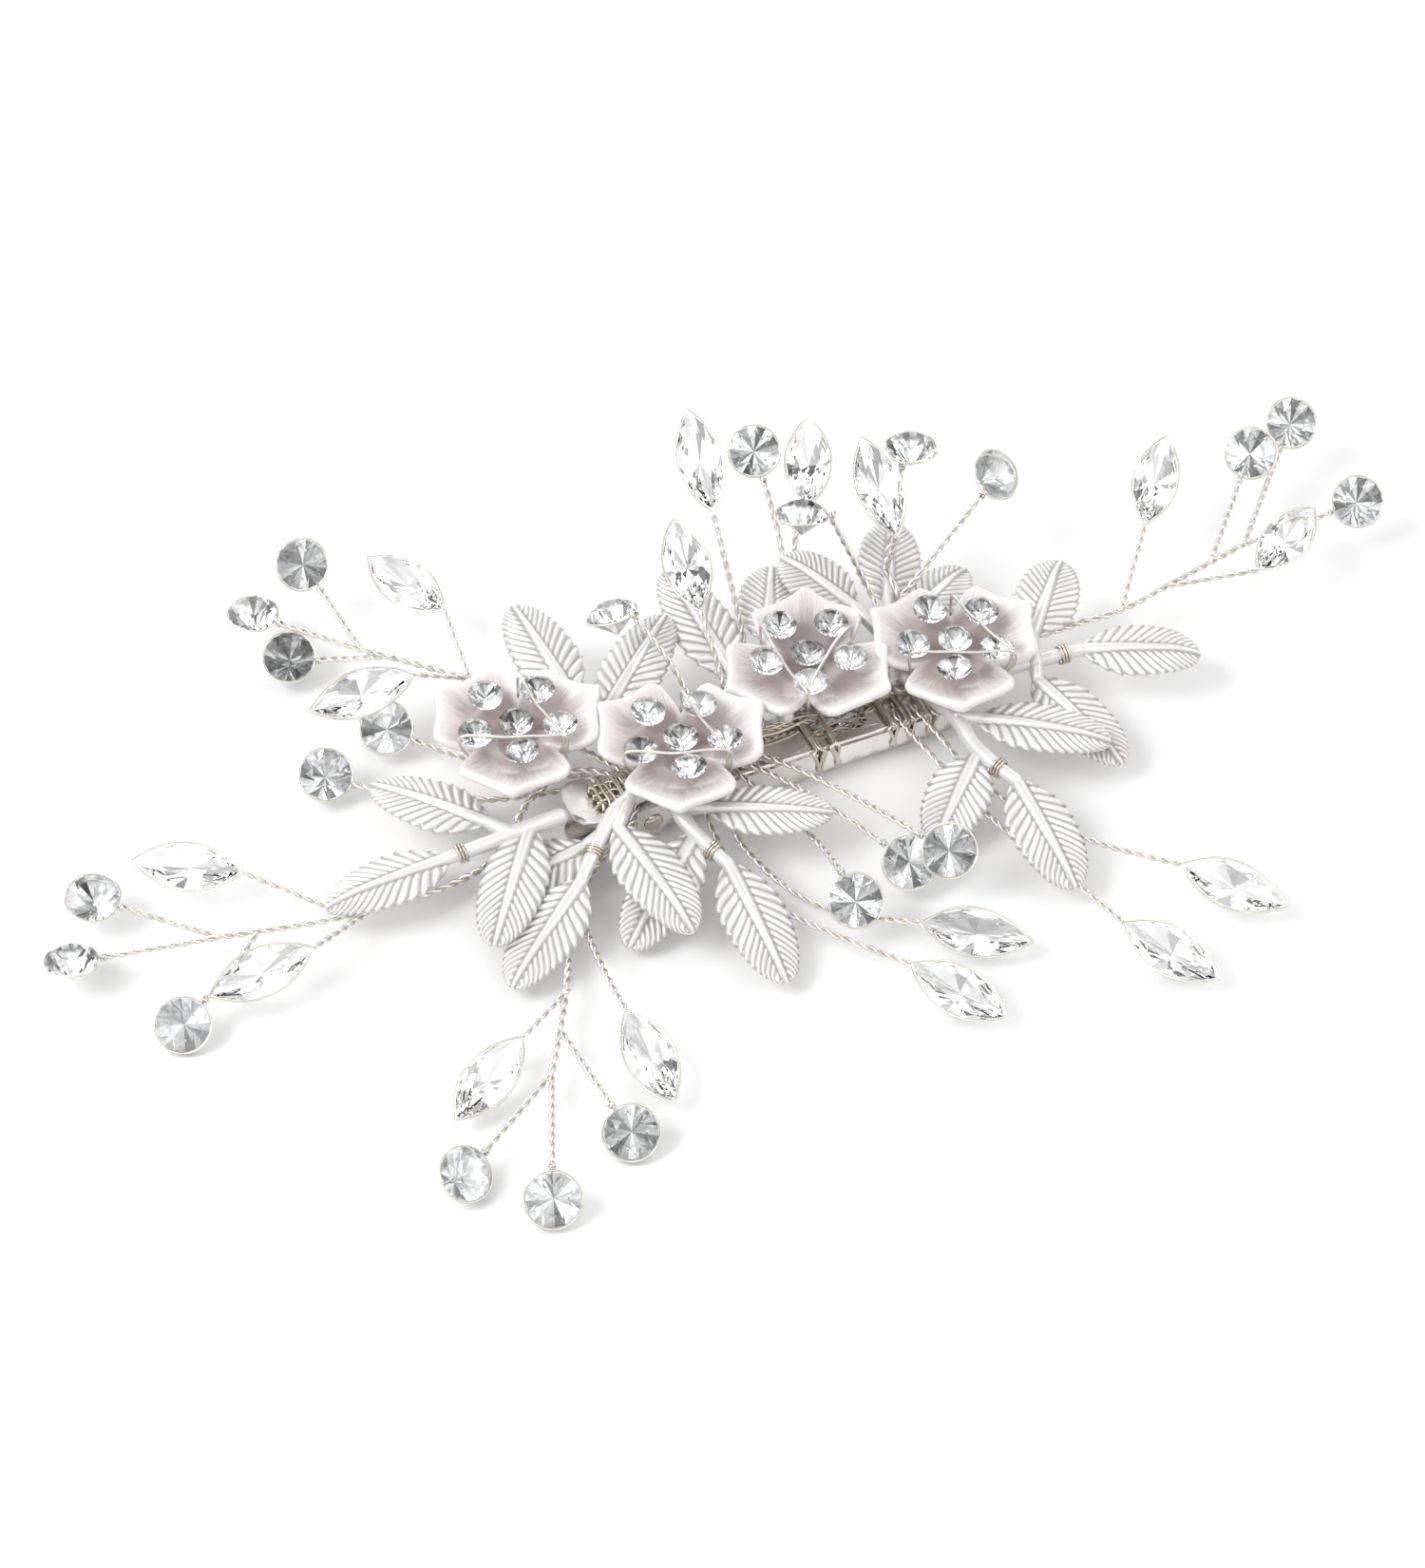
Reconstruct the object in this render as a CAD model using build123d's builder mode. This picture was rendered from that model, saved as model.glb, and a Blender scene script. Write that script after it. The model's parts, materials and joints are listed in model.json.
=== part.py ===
from build123d import *
from math import asin, cos, degrees, radians, sin, tan
import os

os.makedirs("parts", exist_ok=True)

# A bridal hair clip: a sprung metal alligator clip with four resin flowers, eight cast leaf sprigs
# and nine sprays of wired crystals bound along its upper jaw. Millimetres. +X runs along the bar
# from the squeezing end to the jaw tip, +Z is up, and z = 0 is the flat underside of the lower jaw.

# ---- clip ----
jaw_width = 6.0
sheet = 0.5
tip_x = 22.0
tail_x = -20.3
tip_top_z = 3.1
pin_top_z = 4.3
tab_top_z = 5.2
tooth_line_z = 1.1
tooth_radius = 0.45
tooth_pitch = 2.0
jaw_corner = 2.0
side_gap = 0.15
slot_x = 8.4
slot_length = 6.5
slot_width = 2.6

# ---- hinge ----
pin_x = -12.5
pin_z = 2.2
pin_radius = 0.6
pin_gap = 0.05
ear_radius = 1.7
rivet_radius = 1.0
rivet_head = 0.35
spring_wire = 0.4
spring_radius = 1.05
spring_turns = 4.5
spring_leg = 5.0
spring_gap = 0.1
leg_rise = 0.6

# ---- stones ----
round_radius = 2.5
small_radius = 1.7
marquise_length = 10.0
marquise_width = 4.4
girdle = 0.3
wire = 0.35
stem_radius = 0.4
trunk_radius = 0.48
setting_gap = 0.03

# ---- flowers ----
petal_reach = 9.3
petal_corner_reach = 7.2
petal_corner_angle = 45
notch_reach = 4.4
petal_thickness = 1.25
cup_rise = 2.0
cup_radius = (petal_reach**2 + cup_rise**2) / (2 * cup_rise)
flower_base_z = 6.0
stone_ring = 4.3
stone_lift = 0.05

# ---- leaves ----
leaf_width = 5.8
leaf_thickness = 0.7
rod_radius = 0.85
rib_radius = 0.5
leaf_inset = 0.4
tie_wire = 0.3
wrap_wire = 0.35
wrap_gap = 0.05


def tilted(heading, lean):
    """Unit vector that leans off +Z towards a heading in the XY plane, both in degrees."""
    flat = sin(radians(lean))
    return Vector(flat * cos(radians(heading)), flat * sin(radians(heading)), cos(radians(lean)))


def facing_plane(origin, along, facing):
    """Plane at origin whose x runs along one vector and whose z leans as near facing as it can."""
    x_dir = Vector(along).normalized()
    side = Vector(facing).cross(x_dir)
    return Plane(origin=origin, x_dir=x_dir, z_dir=x_dir.cross(side))


def rod(path, radius, widest=6.0):
    """Add a round rod along straight runs joined by arcs as large as runs and limit allow."""
    points = [Vector(point) for point in path]
    bends = []
    for before, corner, after in zip(points, points[1:], points[2:]):
        turn = radians((corner - before).get_angle(after - corner))
        shorter = min((corner - before).length, (after - corner).length)
        bends.append(min(widest, 0.45 * shorter / tan(turn / 2)))
    with BuildLine() as route:
        if bends:
            FilletPolyline(*points, radius=bends)
        else:
            Line(*points)
    with BuildSketch(Plane(origin=points[0], z_dir=points[1] - points[0])) as section:
        Circle(radius)
    sweep(sections=section.sketch, path=route.wire())


def lens_face(half_length, half_width):
    """Pointed oval between two arcs, centred, with its points on the X axis."""
    with BuildSketch(Plane.XY) as lens:
        with BuildLine():
            ThreePointArc((-half_length, 0), (0, half_width), (half_length, 0))
            ThreePointArc((half_length, 0), (0, -half_width), (-half_length, 0))
        make_face()
    return lens.sketch_local


def lens_reach(half_length, half_width, heading):
    """How far a pointed oval reaches in a heading, measured from its centre."""
    arc_radius = (half_length**2 + half_width**2) / (2 * half_width)
    off_side = abs(90 - heading % 180)
    if off_side < degrees(asin(half_length / arc_radius)):
        return arc_radius - (arc_radius - half_width) * cos(radians(off_side))
    return half_length * abs(cos(radians(heading)))


def cut_facets(headings, reaches, pitch, height):
    """Cut one ring of flat facets that meet the girdle at a height, crown up or pavilion down."""
    up = 1 if height >= 0 else -1
    for heading, reach in zip(headings, reaches):
        turn = radians(heading)
        lean = radians(pitch)
        normal = (sin(lean) * cos(turn), sin(lean) * sin(turn), up * cos(lean))
        edge = (reach * cos(turn), reach * sin(turn), height)
        split(bisect_by=Plane(origin=edge, z_dir=normal), keep=Keep.BOTTOM)


def round_stone(radius):
    """Brilliant-cut round stone: girdle at z = 0, table up, point down."""
    mains = [45 * step for step in range(8)]
    halves = [heading + 22.5 for heading in mains]
    crown = 0.42 * radius
    pavilion = 0.9 * radius
    with BuildPart() as stone:
        with Locations((0, 0, (crown - pavilion) / 2)):
            Cylinder(radius, crown + pavilion)
        cut_facets(mains, [radius] * 8, 40, girdle / 2)
        cut_facets(halves, [radius] * 8, 50, girdle / 2)
        cut_facets(mains, [radius] * 8, 43, -girdle / 2)
        cut_facets(halves, [radius] * 8, 48, -girdle / 2)
    return stone.part


def marquise_stone(length, width):
    """Marquise-cut stone: points on the X axis, girdle at z = 0, table up, keel down."""
    crown = 0.26 * width
    pavilion = 0.44 * width
    with BuildPart() as stone:
        with BuildSketch(Plane.XY.offset(-pavilion)):
            add(lens_face(length / 2, width / 2))
        extrude(amount=crown + pavilion)
        for headings, pitch in (((50, 75, 105, 130), 38), ((25, 155), 33)):
            both_sides = [side * heading for heading in headings for side in (1, -1)]
            reaches = [lens_reach(length / 2, width / 2, heading) for heading in both_sides]
            cut_facets(both_sides, reaches, pitch, girdle / 2)
            cut_facets(both_sides, reaches, pitch + 6, -girdle / 2)
    return stone.part


def flower_casting(petal_heading):
    """Cupped casting with three pointed petals, its underside's lowest point at the origin."""
    outline = []
    for petal in range(3):
        for turn, reach in (
            (-60, notch_reach),
            (-petal_corner_angle, petal_corner_reach),
            (0, petal_reach),
            (petal_corner_angle, petal_corner_reach),
        ):
            heading = radians(petal_heading + 120 * petal + turn)
            outline.append((reach * cos(heading), reach * sin(heading)))
    with BuildPart() as casting:
        with BuildSketch(Plane.XY):
            with BuildLine():
                Polyline(*outline, close=True)
            make_face()
        extrude(amount=petal_thickness + cup_rise + 1)
        with Locations((0, 0, cup_radius)):
            Sphere(cup_radius, mode=Mode.INTERSECT)
        with Locations((0, 0, cup_radius + petal_thickness)):
            Sphere(cup_radius, mode=Mode.SUBTRACT)
    return casting.part


def export(builder, name):
    """Name the finished piece and write its STEP file."""
    builder.part.label = name
    export_step(builder.part, f"parts/{name}.step")


# ---------------------------------------------------------------------------
# Clip: two jaws, a rivet pin and a torsion spring
# ---------------------------------------------------------------------------

side_y = jaw_width / 2
inner_y = side_y - sheet
lower_y = inner_y - side_gap
tooth_start_x = pin_x + ear_radius + 2 * tooth_pitch
tooth_xs = [tooth_start_x + tooth_pitch * step for step in range(14)]
tooth_xs = [x for x in tooth_xs if x < tip_x - tooth_pitch]


def bar_height(x):
    """Height of the upper jaw's top between the ears and the tip."""
    along = (x - pin_x - ear_radius) / (tip_x - pin_x - ear_radius)
    return pin_top_z + along * (tip_top_z - pin_top_z)


def on_bar(x, y, radius):
    """Centre of a rod of this radius that lies on the upper jaw."""
    return (x, y, bar_height(x) + radius + setting_gap)


def jaw_top_line(drop):
    """Points along the top of the upper jaw's sheet from tab to tip, lowered by a drop."""
    return [
        (tail_x, tab_top_z - drop),
        (pin_x - ear_radius - 1, pin_top_z - drop),
        (pin_x + ear_radius, pin_top_z - drop),
        (tip_x, tip_top_z - drop),
    ]


with BuildPart() as upper_jaw:
    with BuildSketch(Plane.XZ) as jaw_side:
        with BuildLine():
            Polyline(
                *jaw_top_line(0),
                (tip_x, tooth_line_z + 0.6),
                (tip_x - 1, tooth_line_z),
                (pin_x + ear_radius + 1, tooth_line_z),
                (pin_x + ear_radius, pin_z),
                (pin_x - ear_radius - 1, pin_z + 1),
                (tail_x, tab_top_z - sheet),
                close=True,
            )
        make_face()
        with Locations((pin_x, pin_z)):
            Circle(ear_radius)
    extrude(amount=side_y, both=True)
    with BuildSketch(Plane.XZ) as jaw_hollow:
        with BuildLine():
            Polyline(*jaw_top_line(sheet), (tip_x, -1), (tail_x, -1), close=True)
        make_face()
    extrude(amount=inner_y, both=True, mode=Mode.SUBTRACT)
    with BuildSketch(Plane.XY.offset(-1)):
        with Locations(((tail_x + tip_x) / 2, 0)):
            RectangleRounded(tip_x - tail_x, jaw_width, jaw_corner)
    extrude(amount=tab_top_z + 2, mode=Mode.INTERSECT)
    with Locations(*[(x, 0, tooth_line_z) for x in tooth_xs]):
        Cylinder(tooth_radius, 2 * jaw_width, rotation=(90, 0, 0), mode=Mode.SUBTRACT)
    with Locations((pin_x, 0, pin_z)):
        Cylinder(pin_radius + pin_gap, 2 * jaw_width, rotation=(90, 0, 0), mode=Mode.SUBTRACT)
    with BuildSketch(Plane.XY):
        with Locations((slot_x, 0)):
            SlotOverall(slot_length, slot_width)
    extrude(amount=tab_top_z + 2, mode=Mode.SUBTRACT)
export(upper_jaw, "upper_jaw")

with BuildPart() as lower_jaw:
    with BuildSketch(Plane.XY):
        with Locations(((tail_x + tip_x) / 2, 0)):
            RectangleRounded(tip_x - tail_x, 2 * lower_y, jaw_corner)
    extrude(amount=sheet)
    with BuildSketch(Plane.XZ) as wall_side:
        with BuildLine():
            Polyline(
                (pin_x - ear_radius, sheet / 2),
                (pin_x - ear_radius, pin_z),
                (pin_x + ear_radius, pin_z),
                (pin_x + ear_radius + 1, tooth_line_z),
                (tip_x - jaw_corner, tooth_line_z),
                (tip_x - jaw_corner, sheet / 2),
                close=True,
            )
        make_face()
        with Locations((pin_x, pin_z)):
            Circle(ear_radius - 0.2)
    extrude(amount=lower_y, both=True)
    with BuildSketch(Plane.XZ):
        with Locations(((tail_x + tip_x) / 2, sheet + tab_top_z / 2)):
            Rectangle(2 * (tip_x - tail_x), tab_top_z)
    extrude(amount=lower_y - sheet, both=True, mode=Mode.SUBTRACT)
    with Locations(*[(x + tooth_pitch / 2, 0, tooth_line_z) for x in tooth_xs]):
        Cylinder(tooth_radius, 2 * jaw_width, rotation=(90, 0, 0), mode=Mode.SUBTRACT)
    with Locations((pin_x, 0, pin_z)):
        Cylinder(pin_radius + pin_gap, 2 * jaw_width, rotation=(90, 0, 0), mode=Mode.SUBTRACT)
export(lower_jaw, "lower_jaw")

with BuildPart() as hinge_pin:
    with Locations((pin_x, 0, pin_z)):
        Cylinder(pin_radius, jaw_width + 2 * setting_gap, rotation=(90, 0, 0))
    for side in (1, -1):
        head_y = side * (side_y + setting_gap + rivet_head / 2)
        with Locations((pin_x, head_y, pin_z)):
            Cylinder(rivet_radius, rivet_head, rotation=(90, 0, 0))
export(hinge_pin, "hinge_pin")

coil_length = 2 * (lower_y - sheet - spring_gap) - spring_wire
tab_z = pin_z + spring_radius
handle_z = pin_z - spring_radius
rest_z = sheet + spring_wire / 2 + setting_gap
with BuildPart() as torsion_spring:
    coil_start = (pin_x, coil_length / 2, pin_z)
    with BuildLine() as coil:
        Helix(coil_length / spring_turns, coil_length, spring_radius, coil_start, (0, -1, 0))
    with BuildSketch(Plane(origin=coil.line @ 0, z_dir=coil.line % 0)):
        Circle(spring_wire / 2)
    sweep(path=coil.line, is_frenet=True)
    leg_start = pin_x + spring_wire / 4
    leg_end = pin_x - spring_leg
    for leg_y, start_z, end_z in (
        (-coil_length / 2, tab_z, tab_z + leg_rise),
        (coil_length / 2, handle_z, rest_z),
    ):
        rod([(leg_start, leg_y, start_z), (leg_end, leg_y, end_z)], spring_wire / 2)
export(torsion_spring, "torsion_spring")

# ---------------------------------------------------------------------------
# Binding wire round the upper jaw, at the tooth gaps
# ---------------------------------------------------------------------------

wrap_teeth = {
    "bar_wrap_rear": (0, 1),
    "bar_wrap_middle": (6, 7),
    "bar_wrap_front": (10, 11, 12),
}
for name, teeth in wrap_teeth.items():
    with BuildPart() as wraps:
        for tooth in teeth:
            wrap_x = tooth_start_x + tooth_pitch * tooth
            low_z = tooth_line_z + tooth_radius - wrap_wire - 0.05
            high_z = bar_height(wrap_x - tooth_pitch) + wrap_gap
            with BuildSketch(Plane.YZ.offset(wrap_x - wrap_wire / 2)):
                with Locations((0, (low_z + high_z) / 2 + wrap_wire / 2)):
                    inner_w = jaw_width + 2 * wrap_gap
                    inner_h = high_z - low_z - wrap_wire
                    Rectangle(inner_w + 2 * wrap_wire, inner_h + 2 * wrap_wire)
                    Rectangle(inner_w, inner_h, mode=Mode.SUBTRACT)
            extrude(amount=wrap_wire)
    export(wraps, name)

# ---------------------------------------------------------------------------
# Flowers: cupped three-petal resin castings, each with six small stones
# ---------------------------------------------------------------------------

# name: centre x, centre y, heading of one petal, heading of one stone,
# and turn from that petal to the notch where both tie wires go down
flowers = {
    "flower_1": (-21.5, 9.0, -115, 110, 60),
    "flower_2": (-8.0, 0.5, -115, 112, 60),
    "flower_3": (7.9, 5.4, -55, 104, -60),
    "flower_4": (21.8, 1.0, -112, 98, 60),
}
small_stone = round_stone(small_radius)
seat_z = flower_base_z + petal_thickness + 0.9 * small_radius + stone_lift
ring_lift = stone_ring**2 / (2 * cup_radius) + stone_lift

for name, (flower_x, flower_y, petal_heading, stone_heading, tie_turn) in flowers.items():
    number = name.split("_")[1]
    with BuildPart() as flower:
        with Locations((flower_x, flower_y, flower_base_z)):
            add(flower_casting(petal_heading))
    export(flower, name)

    ring = [(0, 0, seat_z)]
    for step in range(5):
        heading = radians(stone_heading + 72 * step)
        ring.append((stone_ring * cos(heading), stone_ring * sin(heading), seat_z + ring_lift))
    with BuildPart() as stones:
        with Locations(*[(flower_x + x, flower_y + y, z) for x, y, z in ring]):
            add(small_stone)
    export(stones, f"flower_stones_{number}")

    wire_z = seat_z + ring_lift + 0.42 * small_radius + tie_wire / 2 + stone_lift
    reach = stone_ring + small_radius
    tie_low_z = flower_base_z + 0.2
    with BuildPart() as binding:
        for start_turn, spread in ((tie_turn + 120, 1.0), (tie_turn - 120, 2.5)):
            ends = []
            far_reach = reach + spread * tie_wire
            for turn, out in ((start_turn, reach + tie_wire), (tie_turn, far_reach)):
                heading = radians(petal_heading + turn)
                ends.append((flower_x + out * cos(heading), flower_y + out * sin(heading)))
            (start_x, start_y), (end_x, end_y) = ends
            path = [(start_x, start_y, tie_low_z), (start_x, start_y, wire_z)]
            path += [(end_x, end_y, wire_z), (end_x, end_y, tie_low_z)]
            rod(path, tie_wire / 2, widest=2 * tie_wire)
    export(binding, f"flower_wire_{number}")

# ---------------------------------------------------------------------------
# Leaf sprigs: cast rods that fork into three leaves
# ---------------------------------------------------------------------------

# rods are lists of points; a leaf is its base point and its tip point
leaf_sprigs = {
    "leaf_sprig_far_left": {
        "rods": (
            ((-21.5, -1.2, 5.4), (-25, -0.8, 5.0), (-29.5, -0.8, 4.6), (-33, -0.5, 4.2)),
            ((-26.5, -0.8, 5.0), (-28, 1.5, 5.0)),
        ),
        "leaves": (
            ((-28, 1.5, 5.0), (-36, 11, 4.7)),
            ((-33, -0.5, 4.2), (-45.5, -0.7, 3.9)),
            ((-24.5, -1, 5.0), (-33, -12, 3.9)),
        ),
    },
    "leaf_sprig_left": {
        "rods": (
            ((-12, -1.6, 5.25), (-14.5, -2.0, 5.8), (-17.5, -3.4, 5.6), (-22.5, -8.5, 4.2)),
            ((-14.5, -2.0, 5.8), (-17, -4.8, 5.5)),
            ((-18.5, -4.5, 4.8), (-20, -4.2, 3.8)),
        ),
        "leaves": (
            ((-22.5, -8.5, 4.2), (-33, -16, 2.4)),
            ((-17, -4.8, 5.5), (-15.5, -18.5, 4.7)),
            ((-20, -4.2, 3.6), (-31.5, -4.8, 2.0)),
        ),
    },
    "leaf_sprig_centre": {
        "rods": (
            ((-9.5, -1.7, 5.2), (-11, -4.2, 5.1), (-10.5, -8, 4.7), (-9, -12.5, 4.2)),
            ((-11, -4.2, 5.2), (-8, -6, 5.2)),
        ),
        "leaves": (
            ((-10.3, -8, 4.5), (-21, -16, 1.9)),
            ((-9, -12.5, 4.2), (-9.5, -26.5, 2.4)),
            ((-8, -6, 5.2), (2.5, -11.5, 5.2)),
        ),
    },
    "leaf_sprig_front_right": {
        "rods": (
            ((18.3, -1.8, 4.5), (19, -5.5, 5.2), (18.5, -10, 4.9), (20.5, -15, 4.7)),
            ((19, -5.5, 5.2), (20.7, -6.5, 5.2)),
        ),
        "leaves": (
            ((18.4, -10.5, 4.7), (10.8, -17, 2.2)),
            ((20.5, -15, 4.7), (20.2, -28, 3.2)),
            ((20.7, -6.5, 5.2), (31, -14.5, 5.4)),
        ),
    },
    "leaf_sprig_right": {
        "rods": (
            ((21, -0.3, 4.3), (25, -1, 4.6), (29, -2.5, 5.7), (34, -3, 5.7)),
            ((29, -2.5, 5.7), (30.2, 0.4, 6.2)),
            ((29, -2.5, 5.5), (28.5, -3.8, 4.9)),
        ),
        "leaves": (
            ((34, -3, 5.7), (44.5, -8, 5.7)),
            ((30.2, 0.4, 6.2), (37, 7.5, 7.7)),
            ((28.5, -3.8, 4.7), (31.7, -16, 3.4)),
        ),
    },
    "leaf_sprig_back_right": {
        "rods": (
            ((17, 2, 4.7), (17.6, 6.5, 4.8), (19.5, 11, 6.0)),
            ((17.6, 6.5, 4.8), (16, 11.5, 6.0)),
        ),
        "leaves": (
            ((19.5, 11, 6.0), (23.5, 18.5, 8.7)),
            ((18, 7.5, 4.8), (29, 12.5, 5.4)),
            ((16, 11.5, 6.0), (11.5, 18.7, 8.6)),
        ),
    },
    "leaf_sprig_back": {
        "rods": (
            ((4, 2, 4.8), (4, 6, 4.7), (1.5, 8, 5.6)),
            ((4, 6, 4.7), (6.5, 11.5, 5.6)),
        ),
        "leaves": (
            ((1.5, 8, 5.6), (0.5, 22.5, 7.7)),
            ((6.5, 11.5, 5.6), (10.5, 19, 7.6)),
            ((4.6, 7, 4.6), (14.6, 10.5, 4.3)),
        ),
    },
    "leaf_sprig_back_left": {
        "rods": (
            ((-11, 2, 5.25), (-12, 7, 4.8), (-14.2, 12, 5.8)),
            ((-12, 7, 4.8), (-11.8, 9.5, 5.4)),
        ),
        "leaves": (
            ((-14.2, 12, 5.8), (-15.2, 24.5, 7.7)),
            ((-11.8, 9.5, 5.4), (-2, 17, 7.7)),
            ((-13, 8.5, 5.4), (-25, 13, 5.45)),
        ),
    },
}

for name, sprig in leaf_sprigs.items():
    with BuildPart() as leaves:
        for base, leaf_tip in sprig["leaves"]:
            spine = Vector(leaf_tip) - Vector(base)
            heel = Vector(base) - spine.normalized() * leaf_inset
            spine = Vector(leaf_tip) - heel
            leaf_plane = facing_plane(heel, spine, (0, 0, 1))
            with BuildSketch(leaf_plane.offset(-leaf_thickness / 2)):
                with Locations((spine.length / 2, 0)):
                    add(lens_face(spine.length / 2, leaf_width / 2))
            extrude(amount=leaf_thickness)
            rod([heel, heel + spine * 0.85], rib_radius)
        for path in sprig["rods"]:
            rod(path, rod_radius)
    export(leaves, name)

# ties: the sprig, and which run of its first rod the wire goes round
sprig_ties = (
    ("leaf_sprig_far_left", 2),
    ("leaf_sprig_left", 2),
    ("leaf_sprig_centre", 2),
    ("leaf_sprig_front_right", 2),
    ("leaf_sprig_right", 2),
)
with BuildPart() as ties:
    for name, run in sprig_ties:
        main_rod = leaf_sprigs[name]["rods"][0]
        run_start = Vector(main_rod[run])
        run_end = Vector(main_rod[run + 1])
        for share in (0.52, 0.6):
            point = run_start + (run_end - run_start) * share
            with Locations(Plane(origin=point, z_dir=run_end - run_start)):
                Torus(rod_radius + tie_wire / 2 + setting_gap, tie_wire / 2)
export(ties, "sprig_ties")

# ---------------------------------------------------------------------------
# Sprays: twisted wire stems, each ending in a loop round the girdle of a stone
# ---------------------------------------------------------------------------

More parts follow.
